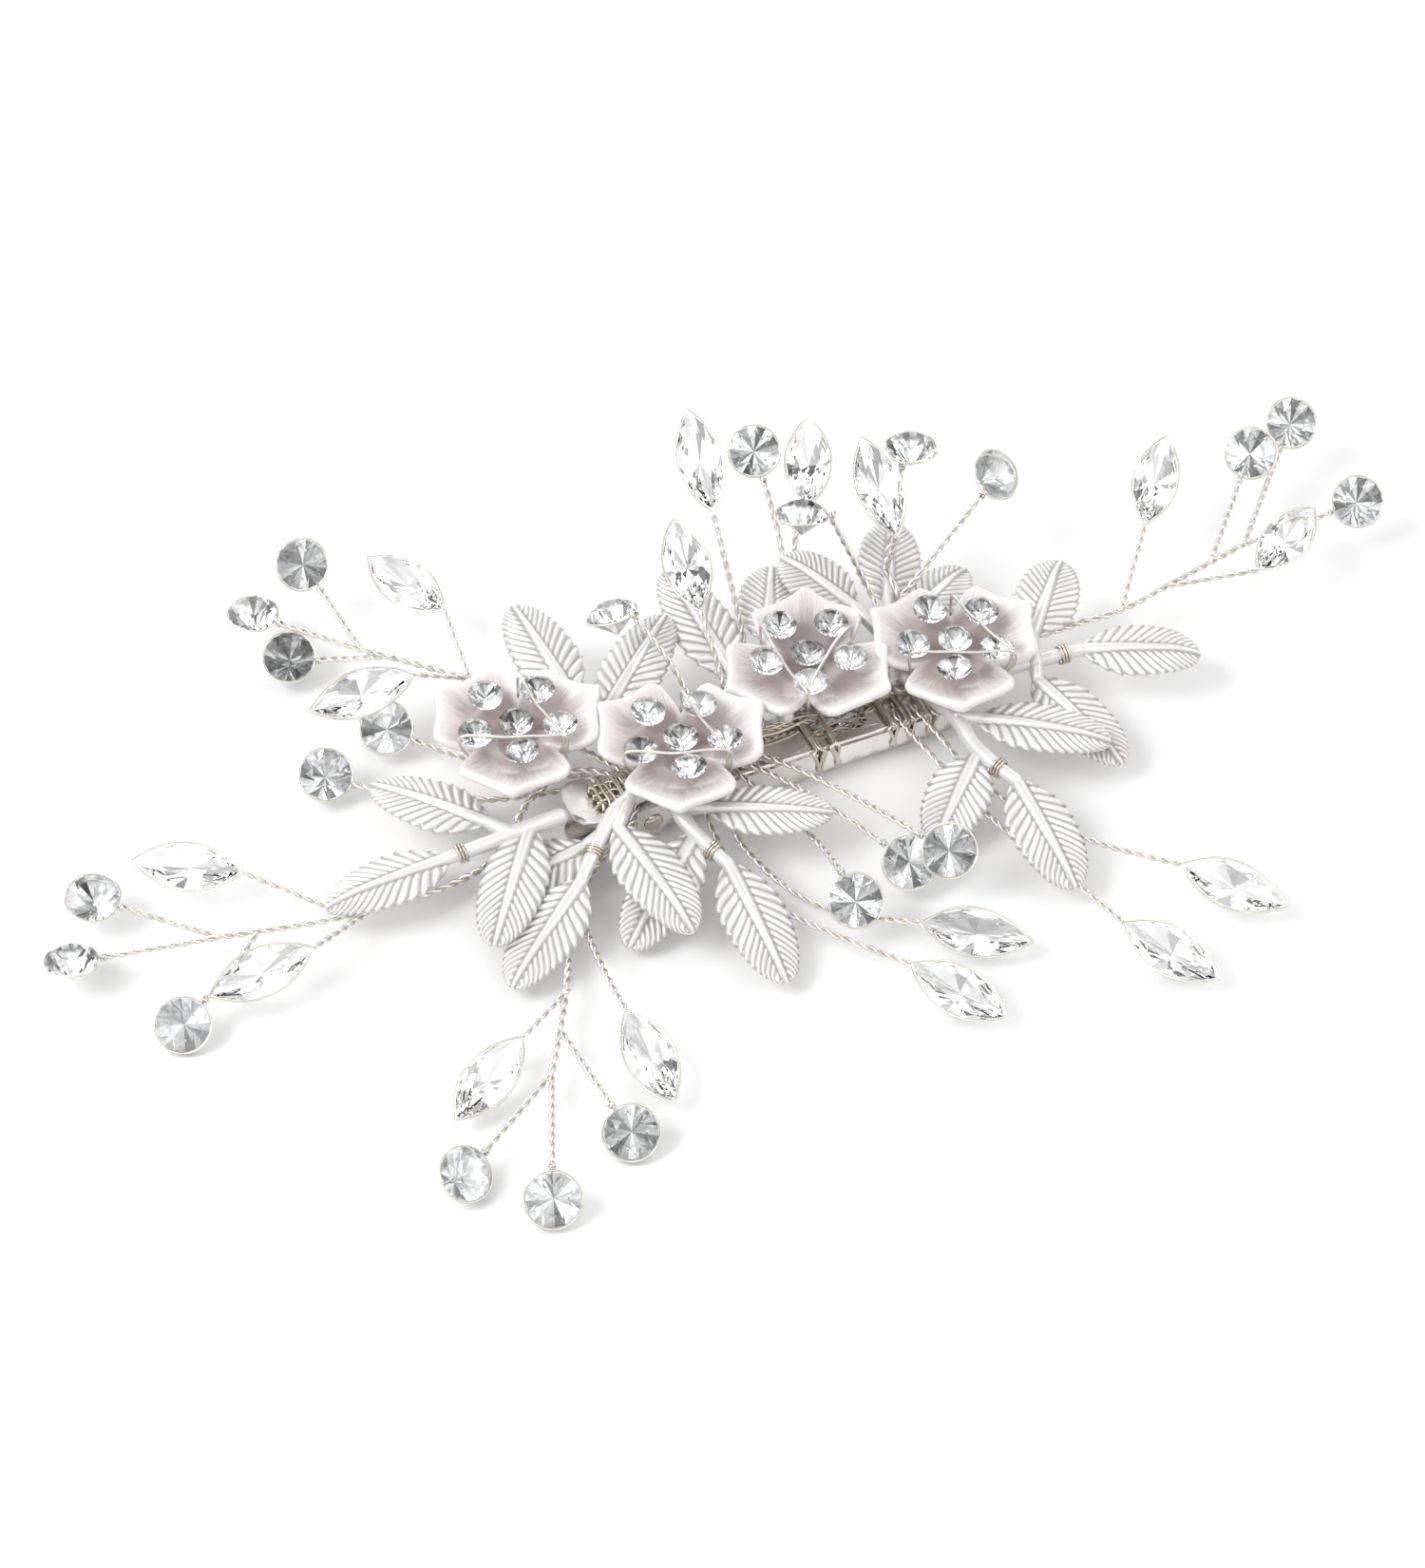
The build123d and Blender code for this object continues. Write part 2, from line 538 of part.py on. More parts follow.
# trunks are lists of points. A round stone is its centre, the heading and lean of its table, and
# the stem's points up to it. A marquise is its heel, its toe's direction and the stem's points.
viewer = (-115, 42)
sprays = {
    "spray_upper_left": {
        "trunks": (
            (
                (-30.5, 27, 5.7), (-22, 19, 6.0), (-19.5, 14, 3.6), (-15, 5, 5.0),
                on_bar(-13.4, 1.8, trunk_radius),
            ),
        ),
        "rounds": (
            ((-32, 38.5, 7.7), viewer, ((-30.4, 26.9, 5.7),)),
            ((-38, 37, 4.7), (65, 5), ((-30.4, 26.9, 5.7),)),
            ((-36.5, 31.5, 3.0), (-115, 25), ((-28, 24.7, 5.8),)),
            ((-31.5, 18.3, 3.3), (-115, 35), ((-24, 8.5, 3.0), (-16, 4.8, 2.6))),
            ((-39, 15.5, 2.8), (-100, 30), ((-31, 7.5, 3.0), (-21.5, 4.6, 2.4), (-16, 4.2, 2.0))),
        ),
        "marquises": (
            ((-21.5, 26.5, 7.7), (-4, 10, 0), ((-22.3, 19.2, 6.0),)),
            ((-27.3, 20.3, 7.3), (-10, 0.6, -1), ((-21.8, 18.6, 5.8),)),
        ),
    },
    "spray_far_left": {
        "trunks": (
            (
                (-56, 0, 3.7), (-45.5, -2, 2.6), (-33, -2.6, 2.4), (-27, -1.0, 2.8),
                (-22.5, 4.4, 3.6), (-16, 4.4, 5.2), on_bar(-13.6, 0.2, trunk_radius),
            ),
        ),
        "rounds": (
            ((-65, 9.5, 3.7), (-115, 10), ((-55.9, -0.1, 3.7),)),
            ((-69.5, 3, 3.7), (65, 15), ((-55.9, -0.1, 3.7),)),
            ((-62.5, -7.5, 2.3), viewer, ((-56, -3.2, 2.0), (-52.5, -0.8, 3.3))),
        ),
        "marquises": (
            ((-51, 5.5, 4.7), (-8.5, 5.5, 0), ((-43.5, -2.0, 2.6),)),
            ((-48.4, -5.9, 4.8), (-10, -0.5, -1), ((-42, -2.2, 2.5),)),
        ),
    },
    "spray_front_left": {
        "trunks": (
            (
                (-34, -27.5, 2.6), (-28.5, -19, 3.0), (-25.5, -12, 1.8), (-20.5, -5.8, 1.8),
                (-15, -4.8, 5.0), on_bar(-12.6, -0.4, trunk_radius),
            ),
        ),
        "rounds": (
            ((-45.5, -34.5, 2.3), (-60, 35), ((-33.9, -27.4, 2.6),)),
            ((-39.5, -40.5, 2.3), viewer, ((-33.9, -27.4, 2.6),)),
            ((-30, -36.5, 2.3), viewer, ((-31.2, -23.2, 2.8),)),
        ),
        "marquises": (
            ((-34.5, -22.5, 3.0), (-9, -5.5, -0.8), ((-28.6, -19.2, 3.0),)),
            ((-25, -24, 3.7), (0, -10, -1.3), ((-25, -17, 3.2), (-23.2, -9.4, 1.8))),
        ),
    },
    "spray_front": {
        "trunks": (),
        "rounds": (
            (
                (-0.2, -22, 4.6), (-115, 35),
                (
                    (0.6, -12.5, 3.3), (-2.2, -6.4, 3.7), (-2.8, -4, 4.8),
                    on_bar(-4.0, -1.0, stem_radius),
                ),
            ),
            ((7, -19, 3.5), (-115, 40), ((0.5, -4.2, 4.7), on_bar(-3, -0.6, stem_radius))),
            ((9.9, -21.4, 6.2), viewer, ((2.5, -4.2, 4.6), on_bar(-0.5, -0.8, stem_radius))),
        ),
        "marquises": (
            (
                (4.5, -25.5, 2.9), (8, -6, -0.2),
                (
                    (-0.5, -21.3, 1.5), (-4.5, -17, 2.4), (-6.4, -10, 2.6),
                    (-6.0, -6.4, 3.2), (-6.0, -3.9, 5.0), on_bar(-5.8, -1, stem_radius),
                ),
            ),
            (
                (1.5, -29.5, 2.9), (5, -8.5, -0.5),
                (
                    (-5.5, -21, 2.7), (-8.2, -13, 2.2), (-8.1, -6.6, 2.7),
                    (-8.1, -4, 5.0), on_bar(-7.9, -1, stem_radius),
                ),
            ),
        ),
    },
    "spray_front_right": {
        "trunks": (),
        "rounds": (),
        "marquises": (
            (
                (30, -30, 3.7), (6.5, -7.5, -1),
                (
                    (23.5, -23.5, 2.9), (17.7, -13, 2.9), (16.5, -4.4, 4.3),
                    on_bar(16.2, -1, stem_radius),
                ),
            ),
            (
                (22, -33.5, 2.9), (5, -9.5, -0.5),
                (
                    (21, -28, 2.4), (17, -17, 2.2), (14.2, -4.4, 4.3),
                    on_bar(14.1, -1, stem_radius),
                ),
            ),
        ),
    },
    "spray_far_right": {
        "trunks": (
            (
                (56, 3.5, 5.2), (46, 1.4, 5.5), (40, 0.5, 5.0), (33, 2.0, 4.0),
                on_bar(21, 1.6, trunk_radius),
            ),
        ),
        "rounds": (
            ((68, 15.5, 6.7), (-115, 38), ((55.9, 3.5, 5.2),)),
            ((61.5, 12.5, 7.7), viewer, ((51.5, 2.6, 5.3),)),
            ((69, 3.5, 5.7), (-115, 38), ((58, 3.5, 5.1), (55.9, 3.4, 5.2))),
        ),
        "marquises": (
            ((54.1, -1.8, 6.9), (10, 5.5, 0), ((46.3, 1.3, 5.4),)),
            ((47, 8.5, 6.7), (5, 6, 2), ((40.2, 0.6, 5.1),)),
        ),
    },
    "spray_back_right": {
        "trunks": (
            (
                (20.1, 13.2, 8.3), (20.5, 8.2, 6.1), (19.6, 3.8, 5.2),
                on_bar(18.6, -0.1, trunk_radius),
            ),
        ),
        "rounds": (
            ((26.5, 20.5, 15.7), (65, 8), ((20.1, 13.1, 8.2),)),
            ((35, 18, 10.7), (-60, 40), ((20.5, 10, 6.9),)),
        ),
        "marquises": (((21, 12.2, 12.7), (0.5, 7.5, 4), ((20.1, 12.9, 8.1),)),),
    },
    "spray_back": {
        "trunks": (),
        "rounds": (
            (
                (13.5, 29.5, 12.7), viewer,
                (
                    (12.8, 22, 8.6), (11.2, 17, 5.6), (11, 9, 5.6), (9.8, 5.5, 5.3),
                    on_bar(9, 1.6, stem_radius),
                ),
            ),
            (
                (13, 17.5, 14.7), (65, 20),
                (
                    (17.8, 12.6, 7.7), (17.8, 9.5, 6.6), (17, 5.2, 6.2),
                    on_bar(14.3, 1.2, stem_radius),
                ),
            ),
        ),
        "marquises": (
            (
                (15.2, 20.6, 11.7), (4, 8.2, 2),
                (
                    (14, 21.2, 9.4), (12, 16.6, 5.2), (12.3, 9, 5.6), (11.6, 6, 5.4),
                    on_bar(11, 1.4, stem_radius),
                ),
            ),
            (
                (6, 23, 12.7), (1, 6.5, 4),
                (
                    (5, 16.5, 8.7), (4.2, 11.5, 5.4), (2.6, 8.6, 3.8), (2.5, 6.2, 3.7),
                    (2.1, 3.9, 4.35), on_bar(1.5, 1.2, stem_radius),
                ),
            ),
        ),
    },
    "spray_back_left": {
        "trunks": (),
        "rounds": (
            (
                (-8, 16.5, 10.7), (100, 30),
                ((-3.9, 7.4, 8.2), (-5.2, 5.0, 4.9), on_bar(-5.8, 1.6, stem_radius)),
            ),
        ),
        "marquises": (
            (
                (0, 13, 10.7), (1.5, 8.5, 2),
                ((-0.6, 6.7, 7.7), (-1.2, 3.9, 5.0), on_bar(-2, 1.2, stem_radius)),
            ),
        ),
    },
}

large_stone = round_stone(round_radius)
pointed_stone = marquise_stone(marquise_length, marquise_width)
loop_radius = round_radius + setting_gap + wire / 2

for name, spray in sprays.items():
    round_places = []
    pointed_places = []
    with BuildPart() as wires:
        for trunk in spray["trunks"]:
            rod(trunk, trunk_radius)
        for centre, facing, stem in spray["rounds"]:
            middle = Vector(centre)
            normal = tilted(*facing)
            back = Vector(stem[0]) - middle
            in_plane = back - normal * back.dot(normal)
            seat = facing_plane(middle, in_plane, normal)
            round_places.append(seat)
            rod([middle + in_plane.normalized() * (loop_radius + setting_gap), *stem], stem_radius)
            with Locations(seat):
                Torus(loop_radius, wire / 2)
        for heel, direction, stem in spray["marquises"]:
            along = Vector(direction).normalized()
            middle = Vector(heel) + along * (marquise_length / 2 + 2 * wire)
            seat = facing_plane(middle, along, tilted(-115, 30))
            pointed_places.append(seat)
            half_l = marquise_length / 2 + 2 * setting_gap
            half_w = marquise_width / 2 + setting_gap
            rod([Vector(heel), *stem], stem_radius)
            with BuildSketch(seat.offset(-wire / 2)):
                add(lens_face(half_l + 1.8 * wire, half_w + wire))
                add(lens_face(half_l, half_w), mode=Mode.SUBTRACT)
            extrude(amount=wire)
    export(wires, f"{name}_wires")
    for kind, stone, places in (
        ("round_stones", large_stone, round_places),
        ("marquise_stones", pointed_stone, pointed_places),
    ):
        if places:
            with BuildPart() as stones:
                with Locations(*places):
                    add(stone)
            export(stones, f"{name}_{kind}")
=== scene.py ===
"""Finished look of a bridal hair clip: pearl petals, cast leaf sprigs and wired crystals on a sprung clip.

Sizes are in millimetres and become metres where a mesh is made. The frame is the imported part's: +X runs
along the bar to the jaw tip, +Z is up, and z = 0 is the flat underside of the lower jaw.
"""

import json
import logging
import math
import random
from dataclasses import dataclass, field
from enum import Enum
from typing import Iterable, Sequence

import bmesh
import bpy
import numpy as np
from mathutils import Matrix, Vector

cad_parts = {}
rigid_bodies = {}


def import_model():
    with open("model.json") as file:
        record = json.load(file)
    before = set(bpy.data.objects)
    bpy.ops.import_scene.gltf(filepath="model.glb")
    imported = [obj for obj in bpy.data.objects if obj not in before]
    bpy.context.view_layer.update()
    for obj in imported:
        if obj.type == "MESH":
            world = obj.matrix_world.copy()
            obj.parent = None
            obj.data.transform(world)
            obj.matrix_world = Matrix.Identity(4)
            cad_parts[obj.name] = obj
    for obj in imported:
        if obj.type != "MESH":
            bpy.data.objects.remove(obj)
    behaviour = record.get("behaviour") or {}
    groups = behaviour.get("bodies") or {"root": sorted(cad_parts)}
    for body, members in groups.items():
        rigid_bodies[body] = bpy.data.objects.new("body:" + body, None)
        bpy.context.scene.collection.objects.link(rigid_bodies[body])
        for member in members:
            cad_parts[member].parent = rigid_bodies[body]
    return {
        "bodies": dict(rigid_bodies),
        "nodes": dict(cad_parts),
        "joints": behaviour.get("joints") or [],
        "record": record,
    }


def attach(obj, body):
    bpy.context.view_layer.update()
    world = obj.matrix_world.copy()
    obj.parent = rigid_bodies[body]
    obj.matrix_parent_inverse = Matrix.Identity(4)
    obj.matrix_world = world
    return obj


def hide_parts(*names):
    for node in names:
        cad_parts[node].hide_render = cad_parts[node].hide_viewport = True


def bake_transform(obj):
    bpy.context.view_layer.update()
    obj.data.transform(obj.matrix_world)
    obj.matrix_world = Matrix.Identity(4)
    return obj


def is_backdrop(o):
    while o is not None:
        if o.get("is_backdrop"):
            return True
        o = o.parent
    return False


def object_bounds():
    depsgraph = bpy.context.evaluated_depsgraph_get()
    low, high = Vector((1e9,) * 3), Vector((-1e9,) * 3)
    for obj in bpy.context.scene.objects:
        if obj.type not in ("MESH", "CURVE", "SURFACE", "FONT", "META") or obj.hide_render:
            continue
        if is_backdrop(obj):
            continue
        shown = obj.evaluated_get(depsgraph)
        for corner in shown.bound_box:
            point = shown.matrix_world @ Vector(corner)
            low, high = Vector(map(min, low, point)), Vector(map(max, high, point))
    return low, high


log = logging.getLogger("hair_clip")

MM = 0.001
FLOOR_GAP = 0.0001
Point = tuple[float, float, float]
Colour = tuple[float, float, float]
Tree = bpy.types.NodeTree
Socket = bpy.types.NodeSocket

# ---- sizes shared with the part, in millimetres ----
JAW_WIDTH = 6.0
SHEET = 0.5
TIP_X = 22.0
TIP_TOP_Z = 3.1
TAIL_X = -20.3
TAB_TOP_Z = 5.2
PIN_X = -12.5
PIN_Z = 2.2
PIN_TOP_Z = 4.3
EAR_RADIUS = 1.7
TOOTH_LINE_Z = 1.1
TOOTH_RADIUS = 0.45
TOOTH_PITCH = 2.0
TOOTH_START_X = PIN_X + EAR_RADIUS + 2 * TOOTH_PITCH
SLOT_X = 8.4
SLOT_LENGTH = 6.5
STEM = 0.4
TRUNK = 0.48
GAP = 0.03
ROUND_RADIUS = 2.5
SMALL_RADIUS = 1.7
MARQUISE_LENGTH = 10.0
MARQUISE_WIDTH = 4.4
GIRDLE = 0.3
VIEWER = (-115, 42)


class Body(Enum):
    """Rigid bodies of the clip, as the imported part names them."""

    CLIP = "clip_body"
    LOWER = "lower_jaw"


class Slot(Enum):
    """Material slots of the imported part."""

    CLIP = "clip_metal"
    PIN = "pin_metal"
    SPRING = "spring_steel"
    BINDING = "binding_wire"
    TWISTED = "twisted_wire"
    SMALL_STONES = "small_stones"
    ROUND_STONES = "round_stones"
    MARQUISES = "marquise_stones"
    PETALS = "petal_resin"
    LEAVES = "leaf_paint"


def bar_height(x: float) -> float:
    """Height of the upper jaw's top between the ears and the tip.

    Args:
        x: place along the bar.

    Returns:
        The height, in millimetres.
    """
    start = PIN_X + EAR_RADIUS
    return PIN_TOP_Z + (x - start) / (TIP_X - start) * (TIP_TOP_Z - PIN_TOP_Z)


def on_bar(x: float, y: float, radius: float) -> Point:
    """Centre of a wire of this radius that lies on the upper jaw."""
    return (x, y, bar_height(x) + radius + GAP)


def tilted(heading: float, lean: float) -> Vector:
    """Unit vector that leans off +Z.

    Args:
        heading: direction of the lean in the XY plane, in degrees.
        lean: angle off +Z, in degrees.

    Returns:
        The vector.
    """
    flat = math.sin(math.radians(lean))
    turn = math.radians(heading)
    return Vector((flat * math.cos(turn), flat * math.sin(turn), math.cos(math.radians(lean))))


# ---------------------------------------------------------------------------
# Listed places, the same as the part's: routes of the wires and rods, and where the pieces sit
# ---------------------------------------------------------------------------

# flowers: centre x and y, heading of one petal, heading of one stone, and the turn to the tied notch
FLOWERS = {
    1: (-21.5, 9.0, -115, 110, 60),
    2: (-8.0, 0.5, -115, 112, 60),
    3: (7.9, 5.4, -55, 104, -60),
    4: (21.8, 1.0, -112, 98, 60),
}

# rods are lists of points; a leaf is its base point and its tip point
LEAF_SPRIGS = {
    "leaf_sprig_far_left": {
        "rods": (
            ((-21.5, -1.2, 5.4), (-25, -0.8, 5.0), (-29.5, -0.8, 4.6), (-33, -0.5, 4.2)),
            ((-26.5, -0.8, 5.0), (-28, 1.5, 5.0)),
        ),
        "leaves": (
            ((-28, 1.5, 5.0), (-36, 11, 4.7)),
            ((-33, -0.5, 4.2), (-45.5, -0.7, 3.9)),
            ((-24.5, -1, 5.0), (-33, -12, 3.9)),
        ),
    },
    "leaf_sprig_left": {
        "rods": (
            ((-12, -1.6, 5.25), (-14.5, -2.0, 5.8), (-17.5, -3.4, 5.6), (-22.5, -8.5, 4.2)),
            ((-14.5, -2.0, 5.8), (-17, -4.8, 5.5)),
            ((-18.5, -4.5, 4.8), (-20, -4.2, 3.8)),
        ),
        "leaves": (
            ((-22.5, -8.5, 4.2), (-33, -16, 2.4)),
            ((-17, -4.8, 5.5), (-15.5, -18.5, 4.7)),
            ((-20, -4.2, 3.6), (-31.5, -4.8, 2.0)),
        ),
    },
    "leaf_sprig_centre": {
        "rods": (
            ((-9.5, -1.7, 5.2), (-11, -4.2, 5.1), (-10.5, -8, 4.7), (-9, -12.5, 4.2)),
            ((-11, -4.2, 5.2), (-8, -6, 5.2)),
        ),
        "leaves": (
            ((-10.3, -8, 4.5), (-21, -16, 1.9)),
            ((-9, -12.5, 4.2), (-9.5, -26.5, 2.4)),
            ((-8, -6, 5.2), (2.5, -11.5, 5.2)),
        ),
    },
    "leaf_sprig_front_right": {
        "rods": (
            ((18.3, -1.8, 4.5), (19, -5.5, 5.2), (18.5, -10, 4.9), (20.5, -15, 4.7)),
            ((19, -5.5, 5.2), (20.7, -6.5, 5.2)),
        ),
        "leaves": (
            ((18.4, -10.5, 4.7), (10.8, -17, 2.2)),
            ((20.5, -15, 4.7), (20.2, -28, 3.2)),
            ((20.7, -6.5, 5.2), (31, -14.5, 5.4)),
        ),
    },
    "leaf_sprig_right": {
        "rods": (
            ((21, -0.3, 4.3), (25, -1, 4.6), (29, -2.5, 5.7), (34, -3, 5.7)),
            ((29, -2.5, 5.7), (30.2, 0.4, 6.2)),
            ((29, -2.5, 5.5), (28.5, -3.8, 4.9)),
        ),
        "leaves": (
            ((34, -3, 5.7), (44.5, -8, 5.7)),
            ((30.2, 0.4, 6.2), (37, 7.5, 7.7)),
            ((28.5, -3.8, 4.7), (31.7, -16, 3.4)),
        ),
    },
    "leaf_sprig_back_right": {
        "rods": (((17, 2, 4.7), (17.6, 6.5, 4.8), (19.5, 11, 6.0)), ((17.6, 6.5, 4.8), (16, 11.5, 6.0))),
        "leaves": (
            ((19.5, 11, 6.0), (23.5, 18.5, 8.7)),
            ((18, 7.5, 4.8), (29, 12.5, 5.4)),
            ((16, 11.5, 6.0), (11.5, 18.7, 8.6)),
        ),
    },
    "leaf_sprig_back": {
        "rods": (((4, 2, 4.8), (4, 6, 4.7), (1.5, 8, 5.6)), ((4, 6, 4.7), (6.5, 11.5, 5.6))),
        "leaves": (
            ((1.5, 8, 5.6), (0.5, 22.5, 7.7)),
            ((6.5, 11.5, 5.6), (10.5, 19, 7.6)),
            ((4.6, 7, 4.6), (14.6, 10.5, 4.3)),
        ),
    },
    "leaf_sprig_back_left": {
        "rods": (((-11, 2, 5.25), (-12, 7, 4.8), (-14.2, 12, 5.8)), ((-12, 7, 4.8), (-11.8, 9.5, 5.4))),
        "leaves": (
            ((-14.2, 12, 5.8), (-15.2, 24.5, 7.7)),
            ((-11.8, 9.5, 5.4), (-2, 17, 7.7)),
            ((-13, 8.5, 5.4), (-25, 13, 5.45)),
        ),
    },
}

# sprigs whose main rod has a winding of wire
TIED_SPRIGS = (
    "leaf_sprig_far_left",
    "leaf_sprig_left",
    "leaf_sprig_centre",
    "leaf_sprig_front_right",
    "leaf_sprig_right",
)

# trunks are lists of points. A round stone is its centre, the heading and lean of its table, and the
# stem's points. A marquise is its heel, its toe's direction and the stem's points.
SPRAYS = {
    "spray_upper_left": {
        "trunks": (
            ((-30.5, 27, 5.7), (-22, 19, 6.0), (-19.5, 14, 3.6), (-15, 5, 5.0), on_bar(-13.4, 1.8, TRUNK)),
        ),
        "rounds": (
            ((-32, 38.5, 7.7), VIEWER, ((-30.4, 26.9, 5.7),)),
            ((-38, 37, 4.7), (65, 5), ((-30.4, 26.9, 5.7),)),
            ((-36.5, 31.5, 3.0), (-115, 25), ((-28, 24.7, 5.8),)),
            ((-31.5, 18.3, 3.3), (-115, 35), ((-24, 8.5, 3.0), (-16, 4.8, 2.6))),
            ((-39, 15.5, 2.8), (-100, 30), ((-31, 7.5, 3.0), (-21.5, 4.6, 2.4), (-16, 4.2, 2.0))),
        ),
        "marquises": (
            ((-21.5, 26.5, 7.7), (-4, 10, 0), ((-22.3, 19.2, 6.0),)),
            ((-27.3, 20.3, 7.3), (-10, 0.6, -1), ((-21.8, 18.6, 5.8),)),
        ),
    },
    "spray_far_left": {
        "trunks": (
            (
                (-56, 0, 3.7), (-45.5, -2, 2.6), (-33, -2.6, 2.4), (-27, -1.0, 2.8), (-22.5, 4.4, 3.6),
                (-16, 4.4, 5.2), on_bar(-13.6, 0.2, TRUNK),
            ),
        ),
        "rounds": (
            ((-65, 9.5, 3.7), (-115, 10), ((-55.9, -0.1, 3.7),)),
            ((-69.5, 3, 3.7), (65, 15), ((-55.9, -0.1, 3.7),)),
            ((-62.5, -7.5, 2.3), VIEWER, ((-56, -3.2, 2.0), (-52.5, -0.8, 3.3))),
        ),
        "marquises": (
            ((-51, 5.5, 4.7), (-8.5, 5.5, 0), ((-43.5, -2.0, 2.6),)),
            ((-48.4, -5.9, 4.8), (-10, -0.5, -1), ((-42, -2.2, 2.5),)),
        ),
    },
    "spray_front_left": {
        "trunks": (
            (
                (-34, -27.5, 2.6), (-28.5, -19, 3.0), (-25.5, -12, 1.8), (-20.5, -5.8, 1.8),
                (-15, -4.8, 5.0), on_bar(-12.6, -0.4, TRUNK),
            ),
        ),
        "rounds": (
            ((-45.5, -34.5, 2.3), (-60, 35), ((-33.9, -27.4, 2.6),)),
            ((-39.5, -40.5, 2.3), VIEWER, ((-33.9, -27.4, 2.6),)),
            ((-30, -36.5, 2.3), VIEWER, ((-31.2, -23.2, 2.8),)),
        ),
        "marquises": (
            ((-34.5, -22.5, 3.0), (-9, -5.5, -0.8), ((-28.6, -19.2, 3.0),)),
            ((-25, -24, 3.7), (0, -10, -1.3), ((-25, -17, 3.2), (-23.2, -9.4, 1.8))),
        ),
    },
    "spray_front": {
        "trunks": (),
        "rounds": (
            (
                (-0.2, -22, 4.6), (-115, 35),
                ((0.6, -12.5, 3.3), (-2.2, -6.4, 3.7), (-2.8, -4, 4.8), on_bar(-4.0, -1.0, STEM)),
            ),
            ((7, -19, 3.5), (-115, 40), ((0.5, -4.2, 4.7), on_bar(-3, -0.6, STEM))),
            ((9.9, -21.4, 6.2), VIEWER, ((2.5, -4.2, 4.6), on_bar(-0.5, -0.8, STEM))),
        ),
        "marquises": (
            (
                (4.5, -25.5, 2.9), (8, -6, -0.2),
                (
                    (-0.5, -21.3, 1.5), (-4.5, -17, 2.4), (-6.4, -10, 2.6), (-6.0, -6.4, 3.2),
                    (-6.0, -3.9, 5.0), on_bar(-5.8, -1, STEM),
                ),
            ),
            (
                (1.5, -29.5, 2.9), (5, -8.5, -0.5),
                (
                    (-5.5, -21, 2.7), (-8.2, -13, 2.2), (-8.1, -6.6, 2.7), (-8.1, -4, 5.0),
                    on_bar(-7.9, -1, STEM),
                ),
            ),
        ),
    },
    "spray_front_right": {
        "trunks": (),
        "rounds": (),
        "marquises": (
            (
                (30, -30, 3.7), (6.5, -7.5, -1),
                ((23.5, -23.5, 2.9), (17.7, -13, 2.9), (16.5, -4.4, 4.3), on_bar(16.2, -1, STEM)),
            ),
            (
                (22, -33.5, 2.9), (5, -9.5, -0.5),
                ((21, -28, 2.4), (17, -17, 2.2), (14.2, -4.4, 4.3), on_bar(14.1, -1, STEM)),
            ),
        ),
    },
    "spray_far_right": {
        "trunks": (
            ((56, 3.5, 5.2), (46, 1.4, 5.5), (40, 0.5, 5.0), (33, 2.0, 4.0), on_bar(21, 1.6, TRUNK)),
        ),
        "rounds": (
            ((68, 15.5, 6.7), (-115, 38), ((55.9, 3.5, 5.2),)),
            ((61.5, 12.5, 7.7), VIEWER, ((51.5, 2.6, 5.3),)),
            ((69, 3.5, 5.7), (-115, 38), ((58, 3.5, 5.1), (55.9, 3.4, 5.2))),
        ),
        "marquises": (
            ((54.1, -1.8, 6.9), (10, 5.5, 0), ((46.3, 1.3, 5.4),)),
            ((47, 8.5, 6.7), (5, 6, 2), ((40.2, 0.6, 5.1),)),
        ),
    },
    "spray_back_right": {
        "trunks": (((20.1, 13.2, 8.3), (20.5, 8.2, 6.1), (19.6, 3.8, 5.2), on_bar(18.6, -0.1, TRUNK)),),
        "rounds": (
            ((26.5, 20.5, 15.7), (65, 8), ((20.1, 13.1, 8.2),)),
            ((35, 18, 10.7), (-60, 40), ((20.5, 10, 6.9),)),
        ),
        "marquises": (((21, 12.2, 12.7), (0.5, 7.5, 4), ((20.1, 12.9, 8.1),)),),
    },
    "spray_back": {
        "trunks": (),
        "rounds": (
            (
                (13.5, 29.5, 12.7), VIEWER,
                ((12.8, 22, 8.6), (11.2, 17, 5.6), (11, 9, 5.6), (9.8, 5.5, 5.3), on_bar(9, 1.6, STEM)),
            ),
            (
                (13, 17.5, 14.7), (65, 20),
                ((17.8, 12.6, 7.7), (17.8, 9.5, 6.6), (17, 5.2, 6.2), on_bar(14.3, 1.2, STEM)),
            ),
        ),
        "marquises": (
            (
                (15.2, 20.6, 11.7), (4, 8.2, 2),
                ((14, 21.2, 9.4), (12, 16.6, 5.2), (12.3, 9, 5.6), (11.6, 6, 5.4), on_bar(11, 1.4, STEM)),
            ),
            (
                (6, 23, 12.7), (1, 6.5, 4),
                (
                    (5, 16.5, 8.7), (4.2, 11.5, 5.4), (2.6, 8.6, 3.8), (2.5, 6.2, 3.7), (2.1, 3.9, 4.35),
                    on_bar(1.5, 1.2, STEM),
                ),
            ),
        ),
    },
    "spray_back_left": {
        "trunks": (),
        "rounds": (
            ((-8, 16.5, 10.7), (100, 30), ((-3.9, 7.4, 8.2), (-5.2, 5.0, 4.9), on_bar(-5.8, 1.6, STEM))),
        ),
        "marquises": (
            ((0, 13, 10.7), (1.5, 8.5, 2), ((-0.6, 6.7, 7.7), (-1.2, 3.9, 5.0), on_bar(-2, 1.2, STEM))),
        ),
    },
}

# ---------------------------------------------------------------------------
# Mesh stock: points and faces gathered in millimetres
# ---------------------------------------------------------------------------


